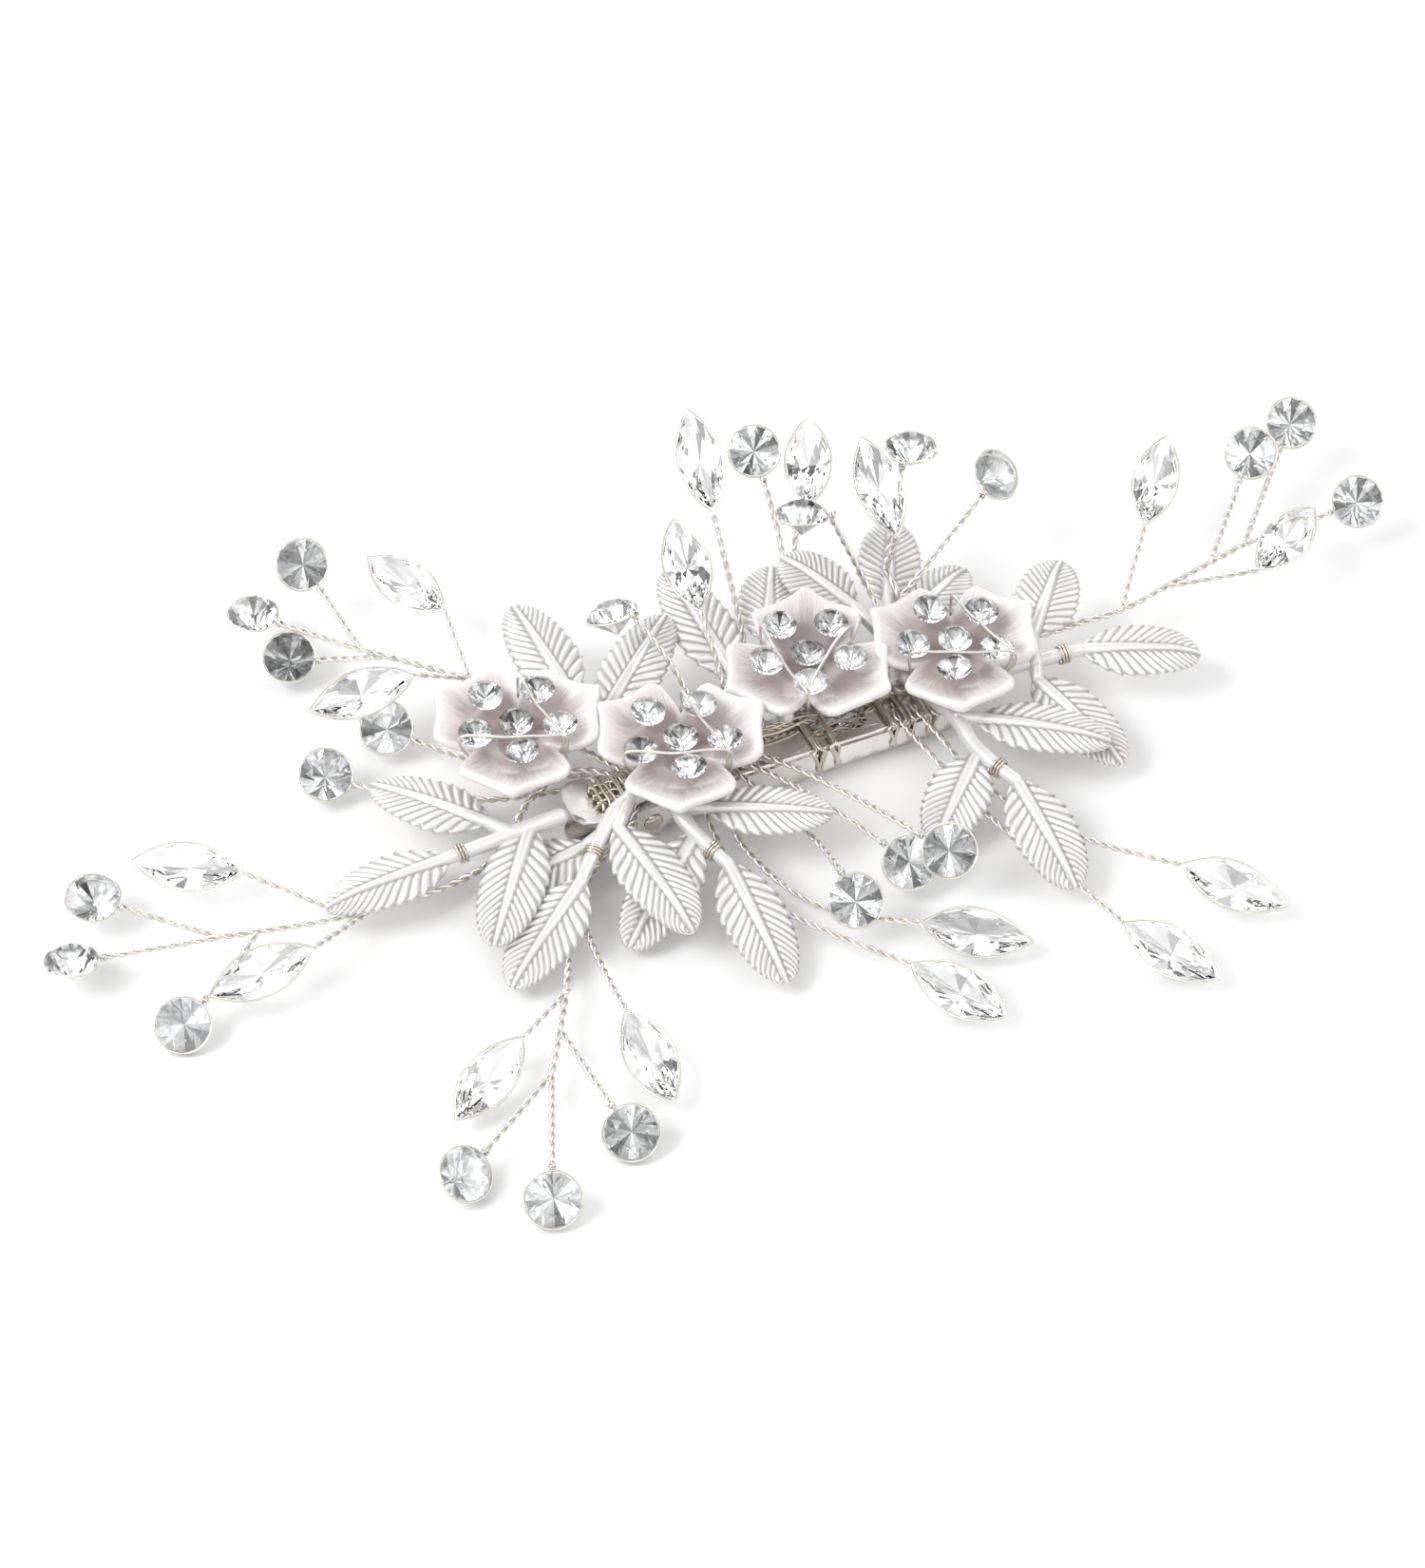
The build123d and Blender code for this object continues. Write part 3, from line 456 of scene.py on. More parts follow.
@dataclass
class Stock:
    """Mesh of one piece while it is made, in millimetres.

    Each point carries three marks for the finishes: relief or cup share (low values get painted shade),
    place along, place across.
    """

    points: list[np.ndarray] = field(default_factory=list)
    marks: list[np.ndarray] = field(default_factory=list)
    faces: list[tuple[int, ...]] = field(default_factory=list)
    skins: list[int] = field(default_factory=list)
    count: int = 0

    def add(
        self,
        points: np.ndarray,
        faces: Iterable[tuple[int, ...]],
        marks: np.ndarray | None = None,
        back_faces: Iterable[tuple[int, ...]] = (),
    ) -> None:
        """Add a closed shell.

        Args:
            points: one row of x, y and z for each point.
            faces: point numbers of each face, counted inside this shell.
            marks: three marks for each point, or none for zeros.
            back_faces: faces that take the piece's second material.
        """
        points = np.asarray(points, float).reshape(-1, 3)
        self.points.append(points)
        self.marks.append(np.zeros_like(points) if marks is None else np.asarray(marks, float))
        for skin, group in enumerate((faces, back_faces)):
            shifted = [tuple(i + self.count for i in face) for face in group]
            self.faces.extend(shifted)
            self.skins.extend([skin] * len(shifted))
        self.count += len(points)

    def make(
        self,
        name: str,
        materials: Sequence[bpy.types.Material],
        slot: Slot,
        body: Body | None = Body.CLIP,
        replaced: Sequence[str] = (),
        smooth: bool = True,
    ) -> bpy.types.Object:
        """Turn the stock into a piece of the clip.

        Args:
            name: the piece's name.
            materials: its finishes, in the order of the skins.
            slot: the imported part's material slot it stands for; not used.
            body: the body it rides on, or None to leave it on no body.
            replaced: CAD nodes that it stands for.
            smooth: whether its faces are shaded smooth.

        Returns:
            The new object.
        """
        mesh = bpy.data.meshes.new(name)
        mesh.from_pydata((np.concatenate(self.points) * MM).tolist(), [], self.faces)
        marks = mesh.attributes.new("marks", "FLOAT_VECTOR", "POINT")
        marks.data.foreach_set("vector", np.concatenate(self.marks).astype(np.float32).ravel())
        for material in materials:
            mesh.materials.append(material)
        mesh.polygons.foreach_set("material_index", self.skins)
        mesh.polygons.foreach_set("use_smooth", [smooth] * len(self.faces))
        mesh.update()
        piece = bpy.data.objects.new(name, mesh)
        bpy.context.scene.collection.objects.link(piece)
        if body is not None:
            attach(piece, body.value)
        if replaced:
            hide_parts(*replaced)
        log.info("%s: %d faces", name, len(self.faces))
        return piece


def grid_faces(rows: int, columns: int, wrap_rows: bool = False, wrap_columns: bool = False) -> list:
    """Quads between the rows and columns of a grid of points.

    Args:
        rows: number of rows.
        columns: number of points in each row.
        wrap_rows: whether the last row joins the first.
        wrap_columns: whether the last point of a row joins the first.

    Returns:
        The faces, as point numbers.
    """
    last_row = rows if wrap_rows else rows - 1
    last_column = columns if wrap_columns else columns - 1
    return [
        (
            row * columns + column,
            row * columns + (column + 1) % columns,
            (row + 1) % rows * columns + (column + 1) % columns,
            (row + 1) % rows * columns + column,
        )
        for row in range(last_row)
        for column in range(last_column)
    ]


def side_axis(direction: np.ndarray) -> np.ndarray:
    """The z axis, or the x axis for a direction that runs nearly along z."""
    return np.array([0.0, 0.0, 1.0]) if abs(direction[2]) < 0.9 else np.array([1.0, 0.0, 0.0])


def carried_frames(path: np.ndarray, closed: bool = False) -> tuple[np.ndarray, np.ndarray]:
    """Two side directions at every point of a path, carried along it without twist.

    Args:
        path: points in order, a row each.
        closed: whether the path joins up with itself.

    Returns:
        The first and the second side direction at each point.
    """
    if closed:
        tangents = np.roll(path, -1, 0) - np.roll(path, 1, 0)
    else:
        tangents = np.gradient(path, axis=0)
    tangents /= np.linalg.norm(tangents, axis=1, keepdims=True) + 1e-12
    first = np.empty_like(path)
    side = side_axis(tangents[0])
    for i, tangent in enumerate(tangents):
        side = side - tangent * np.dot(side, tangent)
        side /= np.linalg.norm(side) + 1e-12
        first[i] = side
    return first, np.cross(tangents, first)


def tube(
    path: np.ndarray,
    radius: float | np.ndarray,
    sides: int = 8,
    closed: bool = False,
    round_ends: bool = False,
) -> tuple[np.ndarray, list]:
    """Round tube along a path.

    Args:
        path: points in order, a row each.
        radius: one radius, or one for each point.
        sides: how many sides the tube has.
        closed: whether it joins up with itself.
        round_ends: whether its ends are domed.

    Returns:
        Points and faces.
    """
    path = np.asarray(path, float)
    radii = np.broadcast_to(np.asarray(radius, float), (len(path),)).copy()
    if round_ends and not closed:
        dome = np.array([0.0, 0.35, 0.7, 0.92])  # radius of the dome's rings, as shares of the tube's
        reach = np.sqrt(1 - dome**2)
        back, ahead = path[0] - path[1], path[-1] - path[-2]
        head = path[0] + np.outer(reach * radii[0], back) / np.linalg.norm(back)
        tail = path[-1] + np.outer(reach * radii[-1], ahead) / np.linalg.norm(ahead)
        path = np.concatenate([head, path, tail[::-1]])
        dome[0] = 0.04
        radii = np.concatenate([dome * radii[0], radii, (dome * radii[-1])[::-1]])
    first, second = carried_frames(path, closed)
    angles = np.linspace(0, 2 * math.pi, sides, endpoint=False)
    across, up = np.cos(angles)[None, :, None], np.sin(angles)[None, :, None]
    ring = across * first[:, None] + up * second[:, None]
    points = path[:, None] + ring * radii[:, None, None]
    faces = grid_faces(len(path), sides, wrap_rows=closed, wrap_columns=True)
    if not closed:
        end = (len(path) - 1) * sides
        faces.append(tuple(range(sides))[::-1])
        faces.append(tuple(range(end, end + sides)))
    return points.reshape(-1, 3), faces


def eased_route(points: Sequence[Point], step: float = 0.25) -> np.ndarray:
    """Smooth path through the middles of a route's runs, with its corners as control points.

    Args:
        points: the route's points.
        step: distance between the path's points.

    Returns:
        The path, a row for each point, evenly spaced.
    """
    corners = np.array([tuple(p) for p in points], float)
    dense = [corners[:1]]
    for i in range(1, len(corners) - 1):
        start = corners[0] if i == 1 else (corners[i - 1] + corners[i]) / 2
        end = corners[-1] if i == len(corners) - 2 else (corners[i] + corners[i + 1]) / 2
        share = np.linspace(0, 1, 24)[1:, None]
        dense.append((1 - share) ** 2 * start + 2 * share * (1 - share) * corners[i] + share**2 * end)
    if len(corners) == 2:
        dense.append(corners[1:])
    line = np.concatenate(dense)
    along = np.concatenate([[0], np.cumsum(np.linalg.norm(np.diff(line, axis=0), axis=1))])
    places = np.linspace(0, along[-1], max(3, int(along[-1] / step) + 1))
    return np.stack([np.interp(places, along, line[:, axis]) for axis in range(3)], axis=1)


@dataclass
class WireMaker:
    """Makes bare, twisted and wound wire."""

    strand: float = 0.155
    lay: float = 0.175
    pitch: float = 2.4
    step: float = 0.2

    def twisted(self, stock: Stock, points: Sequence[Point]) -> None:
        """Add two strands twisted round each other along a route.

        Args:
            stock: where the mesh goes.
            points: the route's points.
        """
        path = eased_route(points, self.step)
        first, second = carried_frames(path)
        along = np.arange(len(path)) * self.step
        phase = 2 * math.pi * along / self.pitch
        for turn in (0.0, math.pi):
            side = np.cos(phase + turn)[:, None] * first + np.sin(phase + turn)[:, None] * second
            stock.add(*tube(path + side * self.lay, self.strand, sides=7, round_ends=True))

    def hoop(self, stock: Stock, ring: np.ndarray, radius: float) -> None:
        """Add a closed hoop of wire through the points of a ring."""
        stock.add(*tube(ring, radius, sides=8, closed=True))

    def winding(
        self, stock: Stock, centre: np.ndarray, axis: np.ndarray, radius: float,
        turns: float, radius_wire: float
    ) -> None:
        """Add a close coil wound round a rod, with both ends tucked against it.

        Args:
            stock: where the mesh goes.
            centre: middle of the coil.
            axis: direction of the rod.
            radius: radius of the coil's centre line.
            turns: number of turns.
            radius_wire: radius of the wire.
        """
        axis = axis / np.linalg.norm(axis)
        first = np.cross(axis, side_axis(axis))
        first /= np.linalg.norm(first)
        second = np.cross(axis, first)
        angle = np.linspace(0, 2 * math.pi * turns, int(26 * turns))
        rise = (angle / (2 * math.pi) - turns / 2) * radius_wire * 2.25
        path = centre + np.outer(rise, axis)
        path += radius * (np.outer(np.cos(angle), first) + np.outer(np.sin(angle), second))
        stock.add(*tube(path, radius_wire, sides=7, round_ends=True))


@dataclass(frozen=True)
class Seat:
    """Where a stone sits: its centre and its three directions, z out of the table."""

    origin: Vector
    x: Vector
    y: Vector
    z: Vector

    @staticmethod
    def facing(origin: Sequence[float], along: Sequence[float], facing: Sequence[float]) -> "Seat":
        """Seat whose x runs along one vector and whose z leans as near another as it can.

        Args:
            origin: the seat's centre.
            along: direction of its x.
            facing: direction that its z leans to.

        Returns:
            The seat.
        """
        x = Vector(along).normalized()
        z = x.cross(Vector(facing).cross(x)).normalized()
        return Seat(Vector(origin), x, z.cross(x), z)

    def place(self, local: np.ndarray) -> np.ndarray:
        """Points given in the seat's own directions, moved into the clip's frame."""
        axes = np.array([self.x, self.y, self.z])
        return np.asarray(local, float) @ axes + np.array(self.origin)


def turned_ring(count: int, radius: float, height: float, offset: float = 0.0) -> np.ndarray:
    """Points evenly round a circle that lies flat.

    Args:
        count: number of points.
        radius: the circle's radius.
        height: its height.
        offset: heading of the first point, in degrees.

    Returns:
        The points, a row each.
    """
    angles = np.radians(np.arange(count) * 360 / count + offset)
    return np.stack([radius * np.cos(angles), radius * np.sin(angles), np.full(count, height)], axis=1)


class GemCutter:
    """Cuts the stones: a brilliant with table, stars, kites and halves, over a foiled pavilion."""

    TABLE = 0.56  # table's radius, as a share of the stone's
    CROWN_MIDDLE = 0.8  # radius of the ring where stars and halves meet
    FACES = 8
    ROUND_HEIGHTS = (0.42, 0.9)  # crown and pavilion of a round stone, in radii
    MARQUISE_HEIGHTS = (0.52, 0.88)  # the same in half widths

    def brilliant(self, crown: float, pavilion: float) -> tuple[np.ndarray, list, list]:
        """Brilliant cut of radius 1.

        Args:
            crown: height of the table over the girdle's middle.
            pavilion: depth of the culet under the girdle's middle.

        Returns:
            Points, the crown's faces and the pavilion's faces.
        """
        half = 360 / self.FACES / 2
        lean = math.cos(math.radians(half))
        edge = GIRDLE / 2 / ROUND_RADIUS
        middle_z = crown - (crown - edge) * (self.CROWN_MIDDLE * lean - self.TABLE) / (1 - self.TABLE)
        points = np.concatenate([
            turned_ring(8, self.TABLE, crown),
            turned_ring(8, self.CROWN_MIDDLE, middle_z, half),
            turned_ring(16, 1, edge),
            turned_ring(16, 1, -edge),
            [[0, 0, -pavilion]],
        ])
        table, middle, upper, lower, culet = 0, 8, 16, 32, 48
        crown_faces = [tuple(range(8))]
        pavilion_faces = []
        for k in range(8):
            after, before = (k + 1) % 8, (k - 1) % 8
            here, between, following = 2 * k, 2 * k + 1, 2 * after
            crown_faces.append((table + k, middle + k, table + after))
            crown_faces.append((table + k, middle + before, upper + here, middle + k))
            crown_faces.append((middle + k, upper + here, upper + between))
            crown_faces.append((middle + k, upper + between, upper + following))
            pavilion_faces.append((culet, lower + between, lower + here, lower + (here - 1) % 16))
        for j in range(16):
            after = (j + 1) % 16
            crown_faces.append((upper + j, lower + j, lower + after, upper + after))
        return points, crown_faces, pavilion_faces

    def round_stone(self, stock: Stock, seat: Seat, radius: float) -> None:
        """Add a round stone: clear crown, foiled pavilion.

        Args:
            stock: where the mesh goes.
            seat: where the stone sits.
            radius: its radius at the girdle.
        """
        points, crown, pavilion = self.brilliant(*self.ROUND_HEIGHTS)
        stock.add(seat.place(points * radius), crown, back_faces=pavilion)

    def marquise(self, stock: Stock, seat: Seat) -> None:
        """Add a marquise: the brilliant drawn out to a pointed oval.

        Args:
            stock: where the mesh goes.
            seat: where the stone sits, x along it.
        """
        points, crown, pavilion = self.brilliant(*self.MARQUISE_HEIGHTS)
        reach = np.hypot(points[:, 0], points[:, 1])
        turn = np.arctan2(points[:, 1], points[:, 0])
        long_half, wide_half = MARQUISE_LENGTH / 2, MARQUISE_WIDTH / 2
        drawn = np.stack([
            reach * long_half * np.cos(turn),
            reach * wide_half * np.sin(turn) * np.abs(np.sin(turn)) ** 0.75,
            points[:, 2] * wide_half,
        ], axis=1)
        stock.add(seat.place(drawn), crown, back_faces=pavilion)


def lens_ring(half_length: float, half_width: float, count: int = 72) -> np.ndarray:
    """Points round a pointed oval in its own plane.

    Args:
        half_length: half the oval's length, along x.
        half_width: half its width.
        count: number of points.

    Returns:
        The points, a row each.
    """
    turn = np.linspace(0, 2 * math.pi, count, endpoint=False)
    x = half_length * np.cos(turn)
    y = half_width * np.sin(turn) * np.abs(np.sin(turn)) ** 0.8
    return np.stack([x, y, np.zeros(count)], axis=1)


# ---------------------------------------------------------------------------
# Finishes
# ---------------------------------------------------------------------------


def socket_group(name: str, inputs: Sequence[tuple], outputs: Sequence[tuple]) -> tuple:
    """Empty shader node group with named sockets.

    Args:
        name: the group's name.
        inputs: socket type, name and default value of each input.
        outputs: socket type and name of each output.

    Returns:
        The group, its input node and its output node.
    """
    group = bpy.data.node_groups.new(name, "ShaderNodeTree")
    for kind, label, value in inputs:
        socket = group.interface.new_socket(name=label, in_out="INPUT", socket_type=kind)
        socket.default_value = value
    for kind, label in outputs:
        group.interface.new_socket(name=label, in_out="OUTPUT", socket_type=kind)
    return group, group.nodes.new("NodeGroupInput"), group.nodes.new("NodeGroupOutput")


def feed(tree: Tree, socket: Socket, value: object) -> None:
    """Link a socket into another, or set a constant on it.

    Args:
        tree: the node tree.
        socket: the input.
        value: an output socket, or a constant.
    """
    if isinstance(value, Socket):
        tree.links.new(value, socket)
    else:
        socket.default_value = value


def fill(tree: Tree, node: bpy.types.Node, **inputs: object) -> bpy.types.Node:
    """Fill a node's inputs.

    Args:
        tree: the node tree.
        node: the node.
        inputs: a socket or a constant for each input's name, with underscores for spaces.

    Returns:
        The same node.
    """
    for label, value in inputs.items():
        feed(tree, node.inputs[label.replace("_", " ")], value)
    return node


def add_node(tree: Tree, kind: str, **inputs: object) -> bpy.types.Node:
    """Add a node of a kind and fill its inputs."""
    return fill(tree, tree.nodes.new(kind), **inputs)


def math_node(tree: Tree, operation: str, *values: object) -> Socket:
    """Add a Math node.

    Args:
        tree: the node tree.
        operation: the node's operation.
        values: its inputs, sockets or numbers.

    Returns:
        The node's output.
    """
    node = tree.nodes.new("ShaderNodeMath")
    node.operation = operation
    for socket, value in zip(node.inputs, values):
        feed(tree, socket, value)
    return node.outputs[0]


def mix_colours(tree: Tree, share: object, first: object, second: object) -> Socket:
    """Add a colour Mix node.

    Args:
        tree: the node tree.
        share: how much of the second colour shows.
        first: colour at share 0.
        second: colour at share 1.

    Returns:
        The mixed colour.
    """
    node = tree.nodes.new("ShaderNodeMix")
    node.data_type = "RGBA"
    # a Mix node has one set of sockets for each data type; the colours are inputs 6 and 7, output 2
    for socket, value in ((node.inputs[0], share), (node.inputs[6], first), (node.inputs[7], second)):
        feed(tree, socket, value)
    return node.outputs[2]


def marks_of(tree: Tree) -> tuple[Socket, Socket]:
    """Read the marks that each piece's points carry.

    Args:
        tree: the material's node tree.

    Returns:
        The first mark, and all three as a vector.
    """
    attribute = tree.nodes.new("ShaderNodeAttribute")
    attribute.attribute_name = "marks"
    split = tree.nodes.new("ShaderNodeSeparateXYZ")
    tree.links.new(attribute.outputs["Vector"], split.inputs[0])
    return split.outputs[0], attribute.outputs["Vector"]


def object_place(tree: Tree) -> Socket:
    """Place on the piece in its own coordinates, in metres."""
    return tree.nodes.new("ShaderNodeTexCoord").outputs["Object"]


class SharedEffects:
    """Node groups that more than one finish uses, each built once."""

    _made: dict[str, Tree] = {}

    @classmethod
    def cloudy_wear(cls) -> Tree:
        """Group that clouds a colour toward a worn one and varies its roughness.

        Returns:
            The group, with a Color and a Roughness.
        """
        if "cloudy_wear" in cls._made:
            return cls._made["cloudy_wear"]
        group, source, result = socket_group(
            "cloudy_wear",
            (
                ("NodeSocketVector", "Place", (0, 0, 0)),
                ("NodeSocketColor", "Clean", (0.8, 0.8, 0.8, 1)),
                ("NodeSocketColor", "Worn", (0.5, 0.5, 0.5, 1)),
                ("NodeSocketFloat", "Scale", 300.0),
                ("NodeSocketFloat", "Amount", 0.5),
                ("NodeSocketFloat", "Roughness", 0.3),
                ("NodeSocketFloat", "Roughness Spread", 0.1),
            ),
            (("NodeSocketColor", "Color"), ("NodeSocketFloat", "Roughness")),
        )
        noise = add_node(
            group, "ShaderNodeTexNoise", Detail=5.0, Roughness=0.62,
            Vector=source.outputs["Place"], Scale=source.outputs["Scale"],
        )
        spread = add_node(group, "ShaderNodeMapRange", Value=noise.outputs[0], From_Min=0.38, From_Max=0.68)
        mask = math_node(group, "MULTIPLY", spread.outputs[0], source.outputs["Amount"])
        colour = mix_colours(group, mask, source.outputs["Clean"], source.outputs["Worn"])
        swing = math_node(group, "MULTIPLY", spread.outputs[0], source.outputs["Roughness Spread"])
        rough = math_node(group, "ADD", source.outputs["Roughness"], swing)
        fill(group, result, Color=colour, Roughness=rough)
        cls._made["cloudy_wear"] = group
        return group

    @classmethod
    def groove_shade(cls) -> Tree:
        """Group that paints shade: it darkens a colour toward a shade colour where a mark is low, in
        grooves and hollows.

        Returns:
            The group, with a Color.
        """
        if "groove_shade" in cls._made:
            return cls._made["groove_shade"]
        group, source, result = socket_group(
            "groove_shade",
            (
                ("NodeSocketFloat", "Relief", 1.0),
                ("NodeSocketFloat", "Low", 0.0),
                ("NodeSocketFloat", "High", 1.0),
                ("NodeSocketFloat", "Strength", 0.5),
                ("NodeSocketColor", "Color", (1, 1, 1, 1)),
                ("NodeSocketColor", "Groove", (0.3, 0.3, 0.3, 1)),
            ),
            (("NodeSocketColor", "Color"),),
        )
        ramp = add_node(
            group, "ShaderNodeMapRange", Value=source.outputs["Relief"], From_Min=source.outputs["Low"],
            From_Max=source.outputs["High"], To_Min=1.0, To_Max=0.0,
        )
        ramp.interpolation_type = "SMOOTHSTEP"
        mask = math_node(group, "MULTIPLY", ramp.outputs[0], source.outputs["Strength"])
        colour = mix_colours(group, mask, source.outputs["Color"], source.outputs["Groove"])
        group.links.new(colour, result.inputs["Color"])
        cls._made["groove_shade"] = group
        return group


    @classmethod
    def painted_facet_shade(cls) -> Tree:
        """Group that paints shade on flat facets: every facet gets its own brightness, chosen by the way
        the facet faces.

        Returns:
            The group, with a Value of Darkest to 1; Share is the part of the facets that is not white.
        """
        if "painted_facet_shade" in cls._made:
            return cls._made["painted_facet_shade"]
        group, source, result = socket_group(
            "painted_facet_shade",
            (("NodeSocketFloat", "Share", 0.5), ("NodeSocketFloat", "Darkest", 0.2)),
            (("NodeSocketFloat", "Value"),),
        )
        facing = group.nodes.new("ShaderNodeNewGeometry").outputs["True Normal"]
        steps = group.nodes.new("ShaderNodeVectorMath")
        steps.operation = "SNAP"
        steps.inputs[1].default_value = (0.04, 0.04, 0.04)
        group.links.new(facing, steps.inputs[0])
        chance = add_node(group, "ShaderNodeTexWhiteNoise", Vector=steps.outputs[0])
        ramp = add_node(
            group, "ShaderNodeMapRange", Value=chance.outputs["Value"],
            From_Max=source.outputs["Share"], To_Min=source.outputs["Darkest"],
        )
        group.links.new(ramp.outputs[0], result.inputs["Value"])
        cls._made["painted_facet_shade"] = group
        return group


def place_group(tree: Tree, group: Tree, **values: object) -> bpy.types.Node:
    """Place a node group and fill its inputs.

    Args:
        tree: the node tree that gets it.
        group: the group.
        values: a socket or a constant for each input's name, with underscores for spaces.

    Returns:
        The group's node.
    """
    node = tree.nodes.new("ShaderNodeGroup")
    node.node_tree = group
    return fill(tree, node, **values)


def facet_shaded_colour(
    tree: Tree, colour: Socket, share: float, darkest: float
) -> Socket:
    """Paint shade on some facets by making a colour greyer there.

    Args:
        tree: node tree of the material.
        colour: the colour to change.
        share: part of the facets that is changed.
        darkest: brightness of the darkest facet.

    Returns:
        The changed colour.
    """
    tone = place_group(tree, SharedEffects.painted_facet_shade(), Share=share, Darkest=darkest)
    facet_shaded = tree.nodes.new("ShaderNodeVectorMath")
    facet_shaded.operation = "SCALE"
    tree.links.new(colour, facet_shaded.inputs[0])
    tree.links.new(tone.outputs["Value"], facet_shaded.inputs["Scale"])
    return facet_shaded.outputs[0]


def new_material(name: str) -> tuple[bpy.types.Material, Tree, bpy.types.Node]:
    """Make a node material.

    Args:
        name: the material's name.

    Returns:
        The material, its node tree and its Principled shader.
    """
    material = bpy.data.materials.new(name)
    material.use_nodes = True
    tree = material.node_tree
    return material, tree, tree.nodes["Principled BSDF"]


def grain_bump(
    tree: Tree, shader: bpy.types.Node, height: Socket, strength: float, depth: float
) -> None:
    """Feed a height into the shader's normal through a Bump node.

    Args:
        tree: the material's node tree.
        shader: its Principled shader.
        height: the height map.
        strength: strength of the bump.
        depth: height of the bump, in metres.
    """
    bump = add_node(tree, "ShaderNodeBump", Strength=strength, Distance=depth, Height=height)
    tree.links.new(bump.outputs[0], shader.inputs["Normal"])


@dataclass(frozen=True)
class MetalFinish:
    """Plated or drawn metal: clouded colour, fine scratches along or round it."""

    name: str
    clean: Colour
    worn: Colour
    metallic: float = 1.0
    roughness: float = 0.16
    spread: float = 0.12
    wear: float = 0.5
    cloud_scale: float = 420.0
    scratch: Point = (900.0, 9000.0, 9000.0)
    scratch_strength: float = 0.12

    def material(self) -> bpy.types.Material:
        """Make the metal."""
        material, tree, shader = new_material(self.name)
        place = object_place(tree)
        wear = place_group(
            tree, SharedEffects.cloudy_wear(), Place=place, Clean=(*self.clean, 1), Worn=(*self.worn, 1),
            Scale=self.cloud_scale, Amount=self.wear,
            Roughness=self.roughness, Roughness_Spread=self.spread,
        )
        fill(
            tree, shader, Base_Color=wear.outputs["Color"], Roughness=wear.outputs["Roughness"],
            Metallic=self.metallic,
        )
        stretch = add_node(tree, "ShaderNodeMapping", Vector=place, Scale=self.scratch)
        scratches = add_node(
            tree, "ShaderNodeTexNoise", Vector=stretch.outputs[0], Scale=1.0, Detail=3.0
        )
        grain_bump(tree, shader, scratches.outputs[0], self.scratch_strength, 0.00003)
        return material


@dataclass(frozen=True)
class LeafPaint:
    """Pearl silver paint over a cast leaf, with painted shade that greys the grooves between the veins and
    beside the midrib, and fine pearl grain.
    """

    name: str = "leaf_paint"
    pearl: Colour = (0.83, 0.815, 0.81)
    shade: Colour = (0.70, 0.685, 0.68)
    # colour of the painted shade in the grooves
    painted_groove_shade: Colour = (0.27, 0.255, 0.25)
    metallic: float = 0.35
    roughness: float = 0.3

    def material(self) -> bpy.types.Material:
        """Make the paint."""
        material, tree, shader = new_material(self.name)
        relief, _ = marks_of(tree)
        place = object_place(tree)
        wear = place_group(
            tree, SharedEffects.cloudy_wear(), Place=place, Clean=(*self.pearl, 1), Worn=(*self.shade, 1),
            Scale=260.0, Amount=0.6, Roughness=self.roughness, Roughness_Spread=0.14,
        )
        # painted shade: the grooves between the veins and beside the midrib are darkened toward the groove
        # colour
        shade = place_group(
            tree, SharedEffects.groove_shade(), Relief=relief, Low=0.0, High=0.6, Strength=0.8,
            Color=wear.outputs["Color"], Groove=(*self.painted_groove_shade, 1),
        )
        fill(
            tree, shader, Base_Color=shade.outputs["Color"], Roughness=wear.outputs["Roughness"],
            Metallic=self.metallic, Coat_Weight=0.35, Coat_Roughness=0.18,
        )
        pearl = add_node(tree, "ShaderNodeTexNoise", Vector=place, Scale=5200.0, Detail=3.0)
        grain_bump(tree, shader, pearl.outputs[0], 0.16, 0.00005)
        return material


@dataclass(frozen=True)
class PetalResin:
    """Pearl resin: white at the rim, with painted shade that darkens it to brown-pink in the cup and under
    the flower, and fine brushed strokes outward.
    """

    name: str = "petal_resin"
    rim: Colour = (0.90, 0.875, 0.865)
    # colour of the painted shade in the cup and under the flower
    cup: Colour = (0.37, 0.285, 0.262)
    stroke: Colour = (0.62, 0.54, 0.52)
    roughness: float = 0.24

    def material(self) -> bpy.types.Material:
        """Make the resin."""
        material, tree, shader = new_material(self.name)
        share, vector = marks_of(tree)
        stretch = add_node(tree, "ShaderNodeMapping", Vector=vector, Scale=(1.6, 26.0, 1.0))
        strokes = add_node(
            tree, "ShaderNodeTexNoise", Vector=stretch.outputs[0], Scale=2.0, Detail=6.0, Roughness=0.6
        )
        wear = place_group(
            tree, SharedEffects.cloudy_wear(), Place=stretch.outputs[0], Clean=(*self.rim, 1),
            Worn=(*self.stroke, 1), Scale=1.3, Amount=0.4, Roughness=self.roughness, Roughness_Spread=0.16,
        )
        uneven = math_node(tree, "MULTIPLY_ADD", strokes.outputs[0], 0.5, -0.25)
        reach = math_node(tree, "ADD", share, uneven)
        # painted shade: darker toward the cup's middle and on the underside, by the cup share
        shade = place_group(
            tree, SharedEffects.groove_shade(), Relief=reach, Low=0.55, High=1.0, Strength=0.85,
            Color=wear.outputs["Color"], Groove=(*self.cup, 1),
        )
        fill(
            tree, shader, Base_Color=shade.outputs["Color"], Roughness=wear.outputs["Roughness"],
            Coat_Weight=0.7, Coat_Roughness=0.1, Sheen_Weight=0.2,
            Subsurface_Weight=0.12, Subsurface_Radius=(1.0, 0.7, 0.6), Subsurface_Scale=0.0008,
        )
        grain_bump(tree, shader, strokes.outputs[0], 0.22, 0.0001)
        return material


